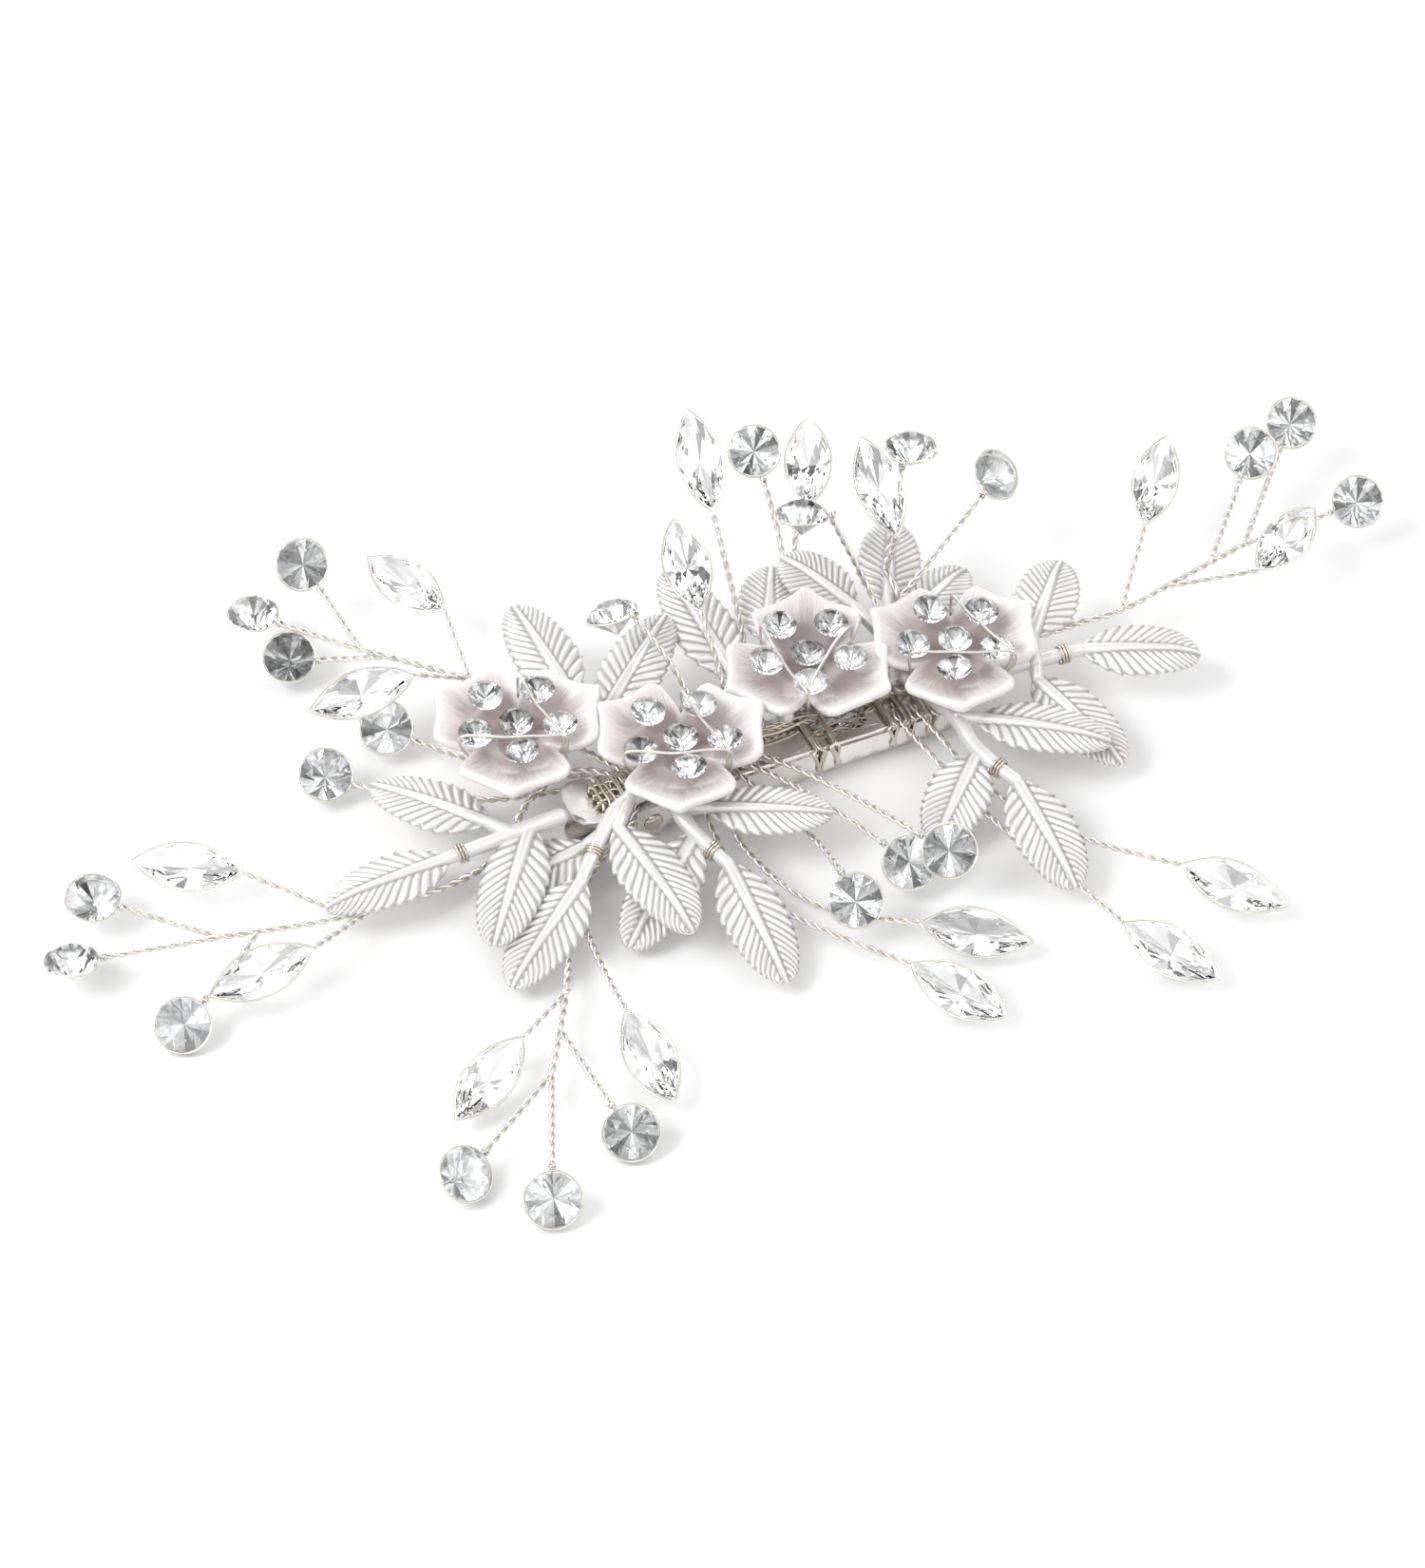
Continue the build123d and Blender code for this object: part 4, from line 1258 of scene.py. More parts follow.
@dataclass(frozen=True)
class CrystalFinish:
    """Clear cut glass with a trace of dust on it; some of its facets may get painted shade that makes them
    greyer.
    """

    name: str
    # share and darkest set the painted shade on the facets
    share: float = 0.0
    darkest: float = 1.0
    tint: Colour = (0.97, 0.98, 0.985)
    ior: float = 1.55

    def material(self) -> bpy.types.Material:
        """Make the glass."""
        material, tree, shader = new_material(self.name)
        place = object_place(tree)
        wear = place_group(
            tree, SharedEffects.cloudy_wear(), Place=place, Clean=(*self.tint, 1),
            Worn=(*(0.96 * channel for channel in self.tint), 1), Scale=700.0, Amount=0.3,
            Roughness=0.004, Roughness_Spread=0.01,
        )
        colour = wear.outputs["Color"]
        # painted shade: a share of the facets made greyer
        if self.share:
            colour = facet_shaded_colour(tree, colour, self.share, self.darkest)
        fill(
            tree, shader, Base_Color=colour, Roughness=wear.outputs["Roughness"],
            Transmission_Weight=1.0, IOR=self.ior,
        )
        return material


@dataclass(frozen=True)
class FoilFinish:
    """Silver foil on the back of a stone, a little uneven, with painted shade that makes a share of its
    facets darker.
    """

    name: str
    share: float = 0.6
    darkest: float = 0.12
    clean: Colour = (0.95, 0.95, 0.95)
    worn: Colour = (0.8, 0.8, 0.81)

    def material(self) -> bpy.types.Material:
        """Make the foil."""
        material, tree, shader = new_material(self.name)
        wear = place_group(
            tree, SharedEffects.cloudy_wear(), Place=object_place(tree), Clean=(*self.clean, 1),
            Worn=(*self.worn, 1), Scale=500.0, Amount=0.6, Roughness=0.16, Roughness_Spread=0.1,
        )
        # painted shade: a share of the facets made darker
        colour = facet_shaded_colour(tree, wear.outputs["Color"], self.share, self.darkest)
        fill(tree, shader, Base_Color=colour, Roughness=wear.outputs["Roughness"], Metallic=1.0)
        return material


class Finishes:
    """Every finish of the clip, made once."""

    def __init__(self) -> None:
        """Make the materials."""
        self.nickel = MetalFinish(
            "clip_nickel", (0.90, 0.885, 0.85), (0.70, 0.67, 0.60), roughness=0.1, wear=0.35
        ).material()
        self.rivet = MetalFinish("rivet_nickel", (0.70, 0.67, 0.61), (0.42, 0.39, 0.34)).material()
        self.spring = MetalFinish(
            "spring_wire", (0.52, 0.50, 0.46), (0.34, 0.31, 0.28), roughness=0.26
        ).material()
        self.twisted = MetalFinish(
            "twisted_wire", (0.78, 0.755, 0.70), (0.50, 0.465, 0.41), roughness=0.24, cloud_scale=500.0
        ).material()
        self.binding = MetalFinish(
            "binding_wire", (0.72, 0.67, 0.59), (0.42, 0.36, 0.29), roughness=0.24, wear=0.7,
            cloud_scale=600.0,
        ).material()
        self.leaf = LeafPaint().material()
        self.petal = PetalResin().material()
        self.crystal = CrystalFinish("cut_crystal").material()
        self.clear = CrystalFinish("clear_crystal", tint=(0.985, 0.99, 0.99), ior=1.42).material()
        # marquise pavilions: clear glass with painted shade on a share of the facets
        self.facet_shaded = CrystalFinish(
            "facet_shaded_crystal", share=0.6, darkest=0.14, tint=(0.985, 0.99, 0.99), ior=1.42
        ).material()
        # foil with painted shade on a share of the facets
        self.foil = FoilFinish("stone_foil").material()


# ---------------------------------------------------------------------------
# Sub-assemblies
# ---------------------------------------------------------------------------


@dataclass
class Clip:
    """Sprung clip: two pressed jaws, a domed rivet and a torsion spring."""

    finishes: Finishes
    frame: dict
    edge_round: float = 0.11
    moulding: float = 0.2
    spring_wire: float = 0.2
    spring_radius: float = 1.05
    spring_turns: float = 4.5
    spring_half: float = 1.55
    spring_leg: float = 5.0
    leg_rise: float = 0.6

    def rounded_jaw(self, node: str, body: Body) -> None:
        """Remake a pressed jaw with rounded sheet edges.

        Args:
            node: the CAD node, whose shape it keeps.
            body: the body it rides on.
        """
        mesh = self.frame["nodes"][node].data.copy()
        mesh.name = f"{node}_pressing"
        work = bmesh.new()
        work.from_mesh(mesh)
        bmesh.ops.remove_doubles(work, verts=work.verts, dist=1e-6)
        bmesh.ops.dissolve_limit(
            work, angle_limit=math.radians(1.0), verts=work.verts, edges=work.edges, delimit={"NORMAL"}
        )
        bmesh.ops.triangulate(work, faces=[f for f in work.faces if len(f.verts) > 12])
        for face in work.faces:
            face.smooth = True
        work.to_mesh(mesh)
        work.free()
        mesh.materials.clear()
        mesh.materials.append(self.finishes.nickel)
        piece = bpy.data.objects.new(f"{node}_pressing", mesh)
        bpy.context.scene.collection.objects.link(piece)
        soften = piece.modifiers.new("rounded_edges", "BEVEL")
        soften.width = self.edge_round * MM
        soften.segments = 3
        soften.limit_method = "ANGLE"
        soften.angle_limit = math.radians(32)
        soften.harden_normals = False
        weighted = piece.modifiers.new("flat_faces", "WEIGHTED_NORMAL")
        weighted.keep_sharp = False
        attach(piece, body.value)
        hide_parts(node)
        log.info("%s: rounded", piece.name)

    def mouldings(self) -> None:
        """Make the two raised lines along the top edges of the upper jaw."""
        stock = Stock()
        start_x, end_x = PIN_X + EAR_RADIUS + 1, TIP_X - 1.8
        for side in (1, -1):
            y = side * (JAW_WIDTH / 2 - 0.55)
            path = np.array([(x, y, bar_height(x)) for x in np.linspace(start_x, end_x, 60)])
            stock.add(*tube(path, self.moulding, sides=10, round_ends=True))
        stock.make("upper_jaw_mouldings", [self.finishes.nickel], Slot.CLIP)

    def rivet(self) -> None:
        """Make the hinge pin with its two domed heads."""
        half = JAW_WIDTH / 2 + GAP
        # places along the pin and radii, from the crown of one head to the shank
        profile = [(-half - 0.35, 0.02), (-half - 0.33, 0.45), (-half - 0.24, 0.75), (-half - 0.1, 0.93)]
        profile += [(-half - 0.02, 0.99), (-half, 0.95), (-half + 0.005, 0.6)]
        full = profile + [(-along, radius) for along, radius in reversed(profile)]
        sides = 40
        angles = np.linspace(0, 2 * math.pi, sides, endpoint=False)
        points = [
            (PIN_X + radius * math.cos(a), along, PIN_Z + radius * math.sin(a))
            for along, radius in full
            for a in angles
        ]
        faces = grid_faces(len(full), sides, wrap_columns=True)
        faces.append(tuple(range(sides))[::-1])
        faces.append(tuple(range((len(full) - 1) * sides, len(full) * sides)))
        stock = Stock()
        stock.add(np.array(points), faces)
        stock.make("hinge_rivet", [self.finishes.rivet], Slot.PIN, replaced=["hinge_pin"])

    def spring(self) -> None:
        """Make the torsion spring, one leg under the tab and the other on the handle."""
        turns = np.linspace(0, self.spring_turns, 260)
        angle = -math.pi / 2 + 2 * math.pi * turns
        coil = np.stack([
            PIN_X + self.spring_radius * np.cos(angle),
            self.spring_half - 2 * self.spring_half * turns / self.spring_turns,
            PIN_Z + self.spring_radius * np.sin(angle),
        ], axis=1)
        handle_end = (PIN_X - self.spring_leg, self.spring_half, SHEET + self.spring_wire + GAP)
        tab_end = (PIN_X - self.spring_leg, -self.spring_half, PIN_Z + self.spring_radius + self.leg_rise)
        share = np.linspace(0, 1, 30)[:, None]
        handle_leg = np.array(handle_end) * (1 - share) + coil[0] * share
        tab_leg = coil[-1] * (1 - share) + np.array(tab_end) * share
        path = np.concatenate([handle_leg[:-1], coil, tab_leg[1:]])
        stock = Stock()
        stock.add(*tube(path, self.spring_wire, sides=10, round_ends=True))
        piece = stock.make(
            "torsion_spring_coil", [self.finishes.spring], Slot.SPRING,
            body=None, replaced=["torsion_spring"]
        )
        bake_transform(piece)

    def build(self) -> None:
        """Make the whole clip."""
        self.rounded_jaw("upper_jaw", Body.CLIP)
        self.rounded_jaw("lower_jaw", Body.LOWER)
        self.mouldings()
        self.rivet()
        self.spring()


@dataclass
class BarBinding:
    """Wire wound round the bar, wire ends laid along it and the tangle inside its slot."""

    finishes: Finishes
    wire: float = 0.17
    low_z: float = TOOTH_LINE_Z + TOOTH_RADIUS - 0.22
    teeth: dict = field(default_factory=lambda: {"rear": (0, 1), "middle": (6, 7), "front": (10, 11, 12)})

    def wrap_loop(self, stock: Stock, x: float, lean: float, swell: float) -> None:
        """Add one turn of wire round the bar.

        Args:
            stock: where the mesh goes.
            x: place along the bar at the underside, in a tooth gap.
            lean: how far the turn leans along the bar at the top.
            swell: how far it stands off the top.
        """
        half = JAW_WIDTH / 2 + 0.05 + self.wire
        high = bar_height(x - 1) + 0.1 + self.wire + swell
        corner = 0.55
        outline = []
        for centre_y, centre_z, start in (
            (half - corner, high - corner, 0),
            (-half + corner, high - corner, 90),
            (-half + corner, self.low_z + corner, 180),
            (half - corner, self.low_z + corner, 270),
        ):
            for turn in (0, 22, 45, 68, 90):
                a = math.radians(start + turn)
                outline.append((centre_y + corner * math.cos(a), centre_z + corner * math.sin(a)))
        height = high - self.low_z
        ring = []
        for i, (y, z) in enumerate(outline):
            share = (z - self.low_z) / height
            ring.append((x + lean * share * (0.6 + 0.4 * math.sin(i)), y, z))
        dense = eased_closed(np.array(ring), 4)
        stock.add(*tube(dense, self.wire, sides=8, closed=True))

    def wraps(self) -> None:
        """Make the three groups of turns."""
        drawn = random.Random(41)
        for place, teeth in self.teeth.items():
            stock = Stock()
            for tooth in teeth:
                x = TOOTH_START_X + TOOTH_PITCH * tooth
                for shift in (-0.2, 0.0, 0.2):
                    self.wrap_loop(stock, x + shift, drawn.uniform(-1.1, 1.1), drawn.uniform(0.0, 0.5))
            stock.make(
                f"bar_wrap_{place}_turns", [self.finishes.binding], Slot.BINDING,
                replaced=[f"bar_wrap_{place}"],
            )

    def laid_ends(self) -> None:
        """Make the wire ends that run along the top of the bar."""
        drawn = random.Random(7)
        stock = Stock()
        maker = WireMaker(strand=0.13, lay=0.15, pitch=1.7)
        for run in range(5):
            start = drawn.uniform(-9.5, -4)
            end = drawn.uniform(12, 19)
            side = drawn.uniform(0.7, 2.3)
            route = []
            for x in np.linspace(start, end, 9):
                y = side + drawn.uniform(-0.6, 0.5)
                route.append((x, y, bar_height(x) + 0.4 + 0.07 * run + drawn.uniform(0, 0.2)))
            if run % 2:
                maker.twisted(stock, route)
            else:
                stock.add(*tube(eased_route(route), self.wire, sides=7, round_ends=True))
        stock.make("bar_laid_ends", [self.finishes.binding], Slot.BINDING)

    def slot_tangle(self) -> None:
        """Make the tangle of thin wire seen through the bar's slot."""
        drawn = random.Random(19)
        stock = Stock()
        for _ in range(16):
            route = []
            for step in range(6):
                x = SLOT_X + (step / 5 - 0.5) * (SLOT_LENGTH + 1) + drawn.uniform(-0.8, 0.8)
                route.append((x, drawn.uniform(-1.3, 1.3), drawn.uniform(2.1, 3.0)))
            stock.add(*tube(eased_route(route, 0.2), 0.13, sides=6, round_ends=True))
        stock.make("slot_wire_tangle", [self.finishes.binding], Slot.BINDING)

    def tab_bundle(self) -> None:
        """Make the wound bundle of stems behind the rivet, under the flowers."""
        drawn = random.Random(23)
        stock = Stock()
        maker = WireMaker()
        for step in range(9):
            x = -17.0 + 0.62 * step
            top = max(bar_height(max(x, PIN_X)), PIN_TOP_Z)
            route = []
            for turn in range(-70, 251, 40):
                a = math.radians(turn)
                y = 2.1 * math.cos(a)
                z = top + 0.45 + 0.55 * max(math.sin(a), 0.0) + drawn.uniform(0, 0.15)
                route.append((x + drawn.uniform(-0.25, 0.25), y, z))
            stock.add(*tube(eased_route(route), self.wire, sides=7, round_ends=True))
        for y in (-1.2, -0.2, 0.9):
            route = [(-17.5, y, 5.3), (-15.5, y + 0.4, 4.9), (-13.2, y - 0.3, 4.85), (-10.6, y, 4.75)]
            maker.twisted(stock, route)
        stock.make("tab_wire_bundle", [self.finishes.binding], Slot.BINDING)

    def build(self) -> None:
        """Make all the binding."""
        self.wraps()
        self.laid_ends()
        self.slot_tangle()
        self.tab_bundle()


def eased_closed(ring: np.ndarray, cuts: int) -> np.ndarray:
    """Closed smooth path through the middles of a ring's sides.

    Args:
        ring: the ring's corners, a row each.
        cuts: number of points for each corner.

    Returns:
        The path's points.
    """
    before = (np.roll(ring, 1, 0) + ring) / 2
    after = (np.roll(ring, -1, 0) + ring) / 2
    share = np.linspace(0, 1, cuts, endpoint=False)[None, :, None]
    path = (1 - share) ** 2 * before[:, None] + 2 * share * (1 - share) * ring[:, None]
    path += share**2 * after[:, None]
    return path.reshape(-1, 3)


@dataclass
class Flower:
    """Cupped three-petal flower with six foiled stones and two thin tie wires."""

    number: int
    finishes: Finishes
    base_z: float = 6.0
    thickness: float = 1.25
    reach: float = 9.3
    cup_rise: float = 2.0
    stone_ring: float = 4.3
    stone_lift: float = 0.05
    tie_wire: float = 0.15
    columns: int = 216
    rings: int = 22

    @property
    def cup_radius(self) -> float:
        """Radius of the sphere that the cup is part of."""
        return (self.reach**2 + self.cup_rise**2) / (2 * self.cup_rise)

    def outline(self, turn: np.ndarray) -> np.ndarray:
        """Reach of the petals' edge.

        Args:
            turn: angles from a petal's middle, in degrees up to 60.

        Returns:
            The edge's distance from the flower's middle at each of them.
        """
        angles = (0, 3, 8, 15, 24, 33, 40, 45, 50, 55, 60)
        reaches = (9.3, 9.05, 8.5, 8.1, 7.9, 8.0, 8.05, 7.6, 6.6, 5.5, 4.5)
        return np.interp(np.abs(turn), angles, reaches)

    def petals(self) -> None:
        """Make the casting: a cupped plate with a rounded rim and softly waved petals."""
        x0, y0, petal_heading, _, _ = FLOWERS[self.number]
        drawn = random.Random(50 + self.number)
        heading = np.radians(np.arange(self.columns) * 360 / self.columns)
        turn = (np.degrees(heading) - petal_heading + 60) % 120 - 60
        petal = ((np.degrees(heading) - petal_heading + 60) % 360 // 120).astype(int)
        edge = self.outline(turn)
        half = self.thickness / 2
        wave = np.array([drawn.uniform(0.15, 0.4) for _ in range(3)])[petal]
        roll = np.array([drawn.uniform(-0.2, 0.2) for _ in range(3)])[petal]
        rim = [math.radians(a) for a in (70, 45, 20, 0, -20, -45, -70)]
        inner = np.linspace(0.02, 1, self.rings)
        # shares run from the middle to the rim; where they are low, in the cup and on the underside, the
        # resin paints shade
        radii, heights, shares = [], [], []
        for share in inner:
            radii.append(share * (edge - half))
            heights.append(np.full_like(edge, half))
            shares.append(np.full_like(edge, share * 0.97))
        for a in rim:
            radii.append(edge - half + half * math.cos(a))
            heights.append(np.full_like(edge, half * math.sin(a)))
            shares.append(np.full_like(edge, 1.0))
        # the underside keeps lower shares, for painted shade under the flower
        for share in inner[::-1]:
            radii.append(share * (edge - half))
            heights.append(np.full_like(edge, -half))
            shares.append(np.full_like(edge, 0.45 + 0.5 * share))
        radii, heights, shares = np.array(radii), np.array(heights), np.array(shares)
        side = turn / 60
        out = (radii / self.reach) ** 3
        cup = radii**2 / (2 * self.cup_radius)
        lift = out * (wave * (1.5 * side**2 - 0.2) + roll * side + 0.14 * np.sin(np.radians(turn) * 9))
        dish = -0.4 * np.exp(-(((radii - 5.6) / 1.7) ** 2)) * (1 - 0.6 * side**2) * (heights > 0)
        z = self.base_z + half + cup + heights + lift + dish
        points = np.stack([x0 + radii * np.cos(heading), y0 + radii * np.sin(heading), z], axis=2)
        rows = len(radii)
        faces = grid_faces(rows, self.columns, wrap_columns=True)
        faces = [face[::-1] for face in faces]
        faces.append(tuple(range(self.columns)))
        faces.append(tuple(range((rows - 1) * self.columns, rows * self.columns))[::-1])
        local = np.broadcast_to(np.radians(turn) + 2.1 * petal, radii.shape)
        marks = np.stack([shares, local, radii / self.reach], axis=2).reshape(-1, 3)
        stock = Stock()
        stock.add(points.reshape(-1, 3), faces, marks)
        stock.make(
            f"flower_{self.number}_petals", [self.finishes.petal], Slot.PETALS,
            replaced=[f"flower_{self.number}"],
        )

    def stone_seats(self) -> list[Seat]:
        """Choose the stones' seats, each leaning inward a little.

        Returns:
            The seat of the middle stone and of the five round it.
        """
        x0, y0, _, stone_heading, _ = FLOWERS[self.number]
        drawn = random.Random(80 + self.number)
        seat_z = self.base_z + self.thickness + 0.9 * SMALL_RADIUS + self.stone_lift
        lift = self.stone_ring**2 / (2 * self.cup_radius) + self.stone_lift
        places = [(0.0, 0.0, seat_z, 0.0, 0.0)]
        for step in range(5):
            heading = stone_heading + 72 * step
            a = math.radians(heading)
            ring_x, ring_y = self.stone_ring * math.cos(a), self.stone_ring * math.sin(a)
            places.append((ring_x, ring_y, seat_z + lift, heading + 180, 7.0))
        seats = []
        for x, y, z, heading, lean in places:
            normal = tilted(heading + drawn.uniform(-40, 40), lean + drawn.uniform(0, 4))
            spin = math.radians(drawn.uniform(0, 45))
            seats.append(Seat.facing((x0 + x, y0 + y, z), (math.cos(spin), math.sin(spin), 0), normal))
        return seats

    def stones(self, cutter: GemCutter) -> None:
        """Make the six stones."""
        stock = Stock()
        for seat in self.stone_seats():
            cutter.round_stone(stock, seat, SMALL_RADIUS)
        stock.make(
            f"flower_{self.number}_stones", [self.finishes.crystal, self.finishes.foil], Slot.SMALL_STONES,
            replaced=[f"flower_stones_{self.number}"], smooth=False,
        )

    def ties(self) -> None:
        """Make the two thin wires that cross the stones and go down at the petals' notches."""
        x0, y0, petal_heading, stone_heading, tie_turn = FLOWERS[self.number]
        drawn = random.Random(110 + self.number)
        table_rise = 1.32 * SMALL_RADIUS + self.stone_ring**2 / (2 * self.cup_radius)
        top = self.base_z + self.thickness + table_rise + 0.3
        stock = Stock()
        for start_turn, spread in ((tie_turn + 120, 0.0), (tie_turn - 120, 0.45)):
            ends, feet = [], []
            for turn, extra in ((start_turn, 0.0), (tie_turn, spread)):
                heading = petal_heading + turn
                off_stone = min(abs((heading - stone_heading + 36) % 72 - 36), 36)
                out = 4.9 + 1.45 * max(0.0, 1 - off_stone / 30) + extra
                a = math.radians(heading)
                ends.append((x0 + out * math.cos(a), y0 + out * math.sin(a)))
                foot = 4.95 + extra
                feet.append((x0 + foot * math.cos(a), y0 + foot * math.sin(a), self.base_z + 0.1))
            (ax, ay), (bx, by) = ends
            route = [feet[0], (ax, ay, self.base_z + 2.4), (ax, ay, top)]
            for share in (0.2, 0.35, 0.5, 0.65, 0.8):
                bow = 0.45 * math.sin(math.pi * share)
                route.append((
                    ax + (bx - ax) * share + (by - ay) / 12 * bow + drawn.uniform(-0.15, 0.15),
                    ay + (by - ay) * share - (bx - ax) / 12 * bow + drawn.uniform(-0.15, 0.15),
                    top + drawn.uniform(0.0, 0.12),
                ))
            route += [(bx, by, top), (bx, by, self.base_z + 2.4), feet[1]]
            stock.add(*tube(eased_route(route, 0.15), self.tie_wire, sides=8, round_ends=True))
        stock.make(
            f"flower_{self.number}_ties", [self.finishes.twisted], Slot.BINDING,
            replaced=[f"flower_wire_{self.number}"],
        )

    def build(self, cutter: GemCutter) -> None:
        """Make the whole flower."""
        self.petals()
        self.stones(cutter)
        self.ties()


@dataclass
class LeafSprig:
    """Cast sprig: a forked rod with three embossed leaves."""

    name: str
    rods: Sequence
    leaves: Sequence
    finishes: Finishes
    half_width: float = 3.2
    widest: float = 0.42
    inset: float = 0.4
    rod_radius: float = 0.85
    veins: int = 15
    rows: int = 136
    columns: int = 29

    def leaf_width(self, share: np.ndarray) -> np.ndarray:
        """Half-width of a leaf: full near the middle, blunt at the tip.

        Args:
            share: places along the leaf, as shares of its length.

        Returns:
            The half-width at each of them.
        """
        rise = np.clip(share / self.widest, 0, 1)
        fall = np.clip((share - self.widest) / (1 - self.widest), 0, 1)
        return self.half_width * np.sin(rise * math.pi / 2) ** 0.75 * np.sqrt(np.clip(1 - fall**2.1, 0, 1))

    def leaf(self, stock: Stock, base: Point, leaf_tip: Point, drawn: random.Random) -> None:
        """Add one leaf with raised midrib, raised side veins and a toothed edge.

        Args:
            stock: where the mesh goes.
            base: where the leaf leaves the rod.
            leaf_tip: its tip.
            drawn: source of the leaf's own bend and twist.
        """
        spine = Vector(leaf_tip) - Vector(base)
        heel = Vector(base) - spine.normalized() * self.inset
        length = (Vector(leaf_tip) - heel).length
        seat = Seat.facing(heel, Vector(leaf_tip) - heel, (0, 0, 1))
        s = np.linspace(0, 1, self.rows)[:, None]
        u = np.linspace(-1, 1, self.columns)[None, :]
        t = np.sign(u) * np.abs(u) ** 1.35
        side = np.abs(t)
        share = s + s * (1 - s) * side**0.9
        phase = s * self.veins
        ridge = 0.5 - 0.5 * np.cos(2 * math.pi * phase)
        crest = ridge**1.2
        tooth = (phase % 1.0) ** 1.2
        width = self.leaf_width(share) + 0.04
        edge = 1 + 0.11 * (tooth - 0.5) * np.clip(side * 5 - 4, 0, 1) * np.clip(1.35 - share, 0, 1)
        y = t * width * edge
        x = share * length
        taper = np.clip((1 - s) * 5, 0.15, 1) * np.clip(s * 8, 0, 1)
        rib_width = 0.56 - 0.34 * s
        fade = np.clip((np.abs(y) - 1.2 * rib_width) / 0.4, 0, 1)
        fade *= np.clip((1 - side) * 7 + 0.45, 0, 1)
        vein = 0.2 * crest * fade * taper
        rib = (0.36 - 0.18 * s) * np.exp(-((y / rib_width) ** 4))
        seam = -0.1 * np.exp(-(((np.abs(y) - 1.35 * rib_width) / 0.17) ** 2))
        camber = -drawn.uniform(0.3, 0.6) * side**2 * np.clip(width / self.half_width, 0, 1)
        bow = drawn.uniform(0.15, 0.4) * 4 * share * (1 - share)
        curl = -drawn.uniform(0.1, 0.7) * np.clip((share - 0.72) / 0.28, 0, 1) ** 2
        twist = drawn.uniform(-0.12, 0.12) * share
        body_z = camber + bow + curl + twist * y
        top = body_z + 0.12 + vein + rib + seam
        under = body_z - 0.22 - 0.25 * np.exp(-((y / 0.6) ** 2))
        rolled = np.clip((1 - side) * 9, 0, 1) ** 0.5
        middle_z = body_z - 0.03
        top = middle_z + (top - middle_z) * (0.35 + 0.65 * rolled)
        under = middle_z + (under - middle_z) * (0.35 + 0.65 * rolled)
        # relief sets where the paint gets painted shade: low between the veins and in the seams beside the
        # midrib
        relief = np.clip(0.12 + crest * 0.9 * fade + rib * 2.4 + seam * 1.5, 0, 1)
        size = self.rows * self.columns
        upper = np.stack([x, y, top], axis=2).reshape(-1, 3)
        lower = np.stack([x, y, under], axis=2).reshape(-1, 3)
        marks = np.stack([relief, *np.broadcast_arrays(s, t)], axis=2).reshape(-1, 3)
        low_marks = marks * (0, 1, 1) + (0.7, 0, 0)
        faces = [face[::-1] for face in grid_faces(self.rows, self.columns)]
        faces += [tuple(i + size for i in face) for face in grid_faces(self.rows, self.columns)]
        rim = list(range(self.columns))
        rim += [r * self.columns + self.columns - 1 for r in range(1, self.rows)]
        rim += [(self.rows - 1) * self.columns + c for c in range(self.columns - 2, -1, -1)]
        rim += [r * self.columns for r in range(self.rows - 2, 0, -1)]
        for a, b in zip(rim, rim[1:] + rim[:1]):
            faces.append((a, b, b + size, a + size))
        points = seat.place(np.concatenate([upper, lower]))
        stock.add(points, faces, np.concatenate([marks, low_marks]))

    def rod(self, stock: Stock, route: Sequence[Point], first: bool) -> None:
        """Add a cast rod, thicker at its root, that thins into the midrib.

        Args:
            stock: where the mesh goes.
            route: the rod's points.
            first: whether it is the sprig's main rod, which is thicker.
        """
        path = eased_route(route, 0.3)
        share = np.linspace(0, 1, len(path))
        start = self.rod_radius * (1.0 if first else 0.92)
        radii = start * (1 - 0.22 * share) * (1 + 0.03 * np.sin(share * 19))
        points, faces = tube(path, radii, sides=16, round_ends=True)
        marks = np.zeros_like(points)
        marks[:, 0] = 0.8
        stock.add(points, faces, marks)

    def build(self) -> None:
        """Make the sprig."""
        drawn = random.Random(sum(map(ord, self.name)))
        stock = Stock()
        for base, leaf_tip in self.leaves:
            self.leaf(stock, base, leaf_tip, drawn)
        for i, route in enumerate(self.rods):
            self.rod(stock, route, i == 0)
        stock.make(f"{self.name}_casting", [self.finishes.leaf], Slot.LEAVES, replaced=[self.name])


@dataclass
class SprigTies:
    """Short windings of wire round the rods of the front sprigs."""

    finishes: Finishes
    wire: float = 0.14
    share: float = 0.56
    run: int = 2

    def build(self) -> None:
        """Make every winding."""
        stock = Stock()
        maker = WireMaker()
        for name in TIED_SPRIGS:
            route = LEAF_SPRIGS[name]["rods"][0]
            start, end = np.array(route[self.run]), np.array(route[self.run + 1])
            centre = start + (end - start) * self.share
            path = eased_route(route, 0.3)
            near = path[np.argmin(np.linalg.norm(path - centre, axis=1))]
            maker.winding(stock, near, end - start, 0.88, 3.2, self.wire)
        stock.make("sprig_tie_windings", [self.finishes.binding], Slot.BINDING, replaced=["sprig_ties"])


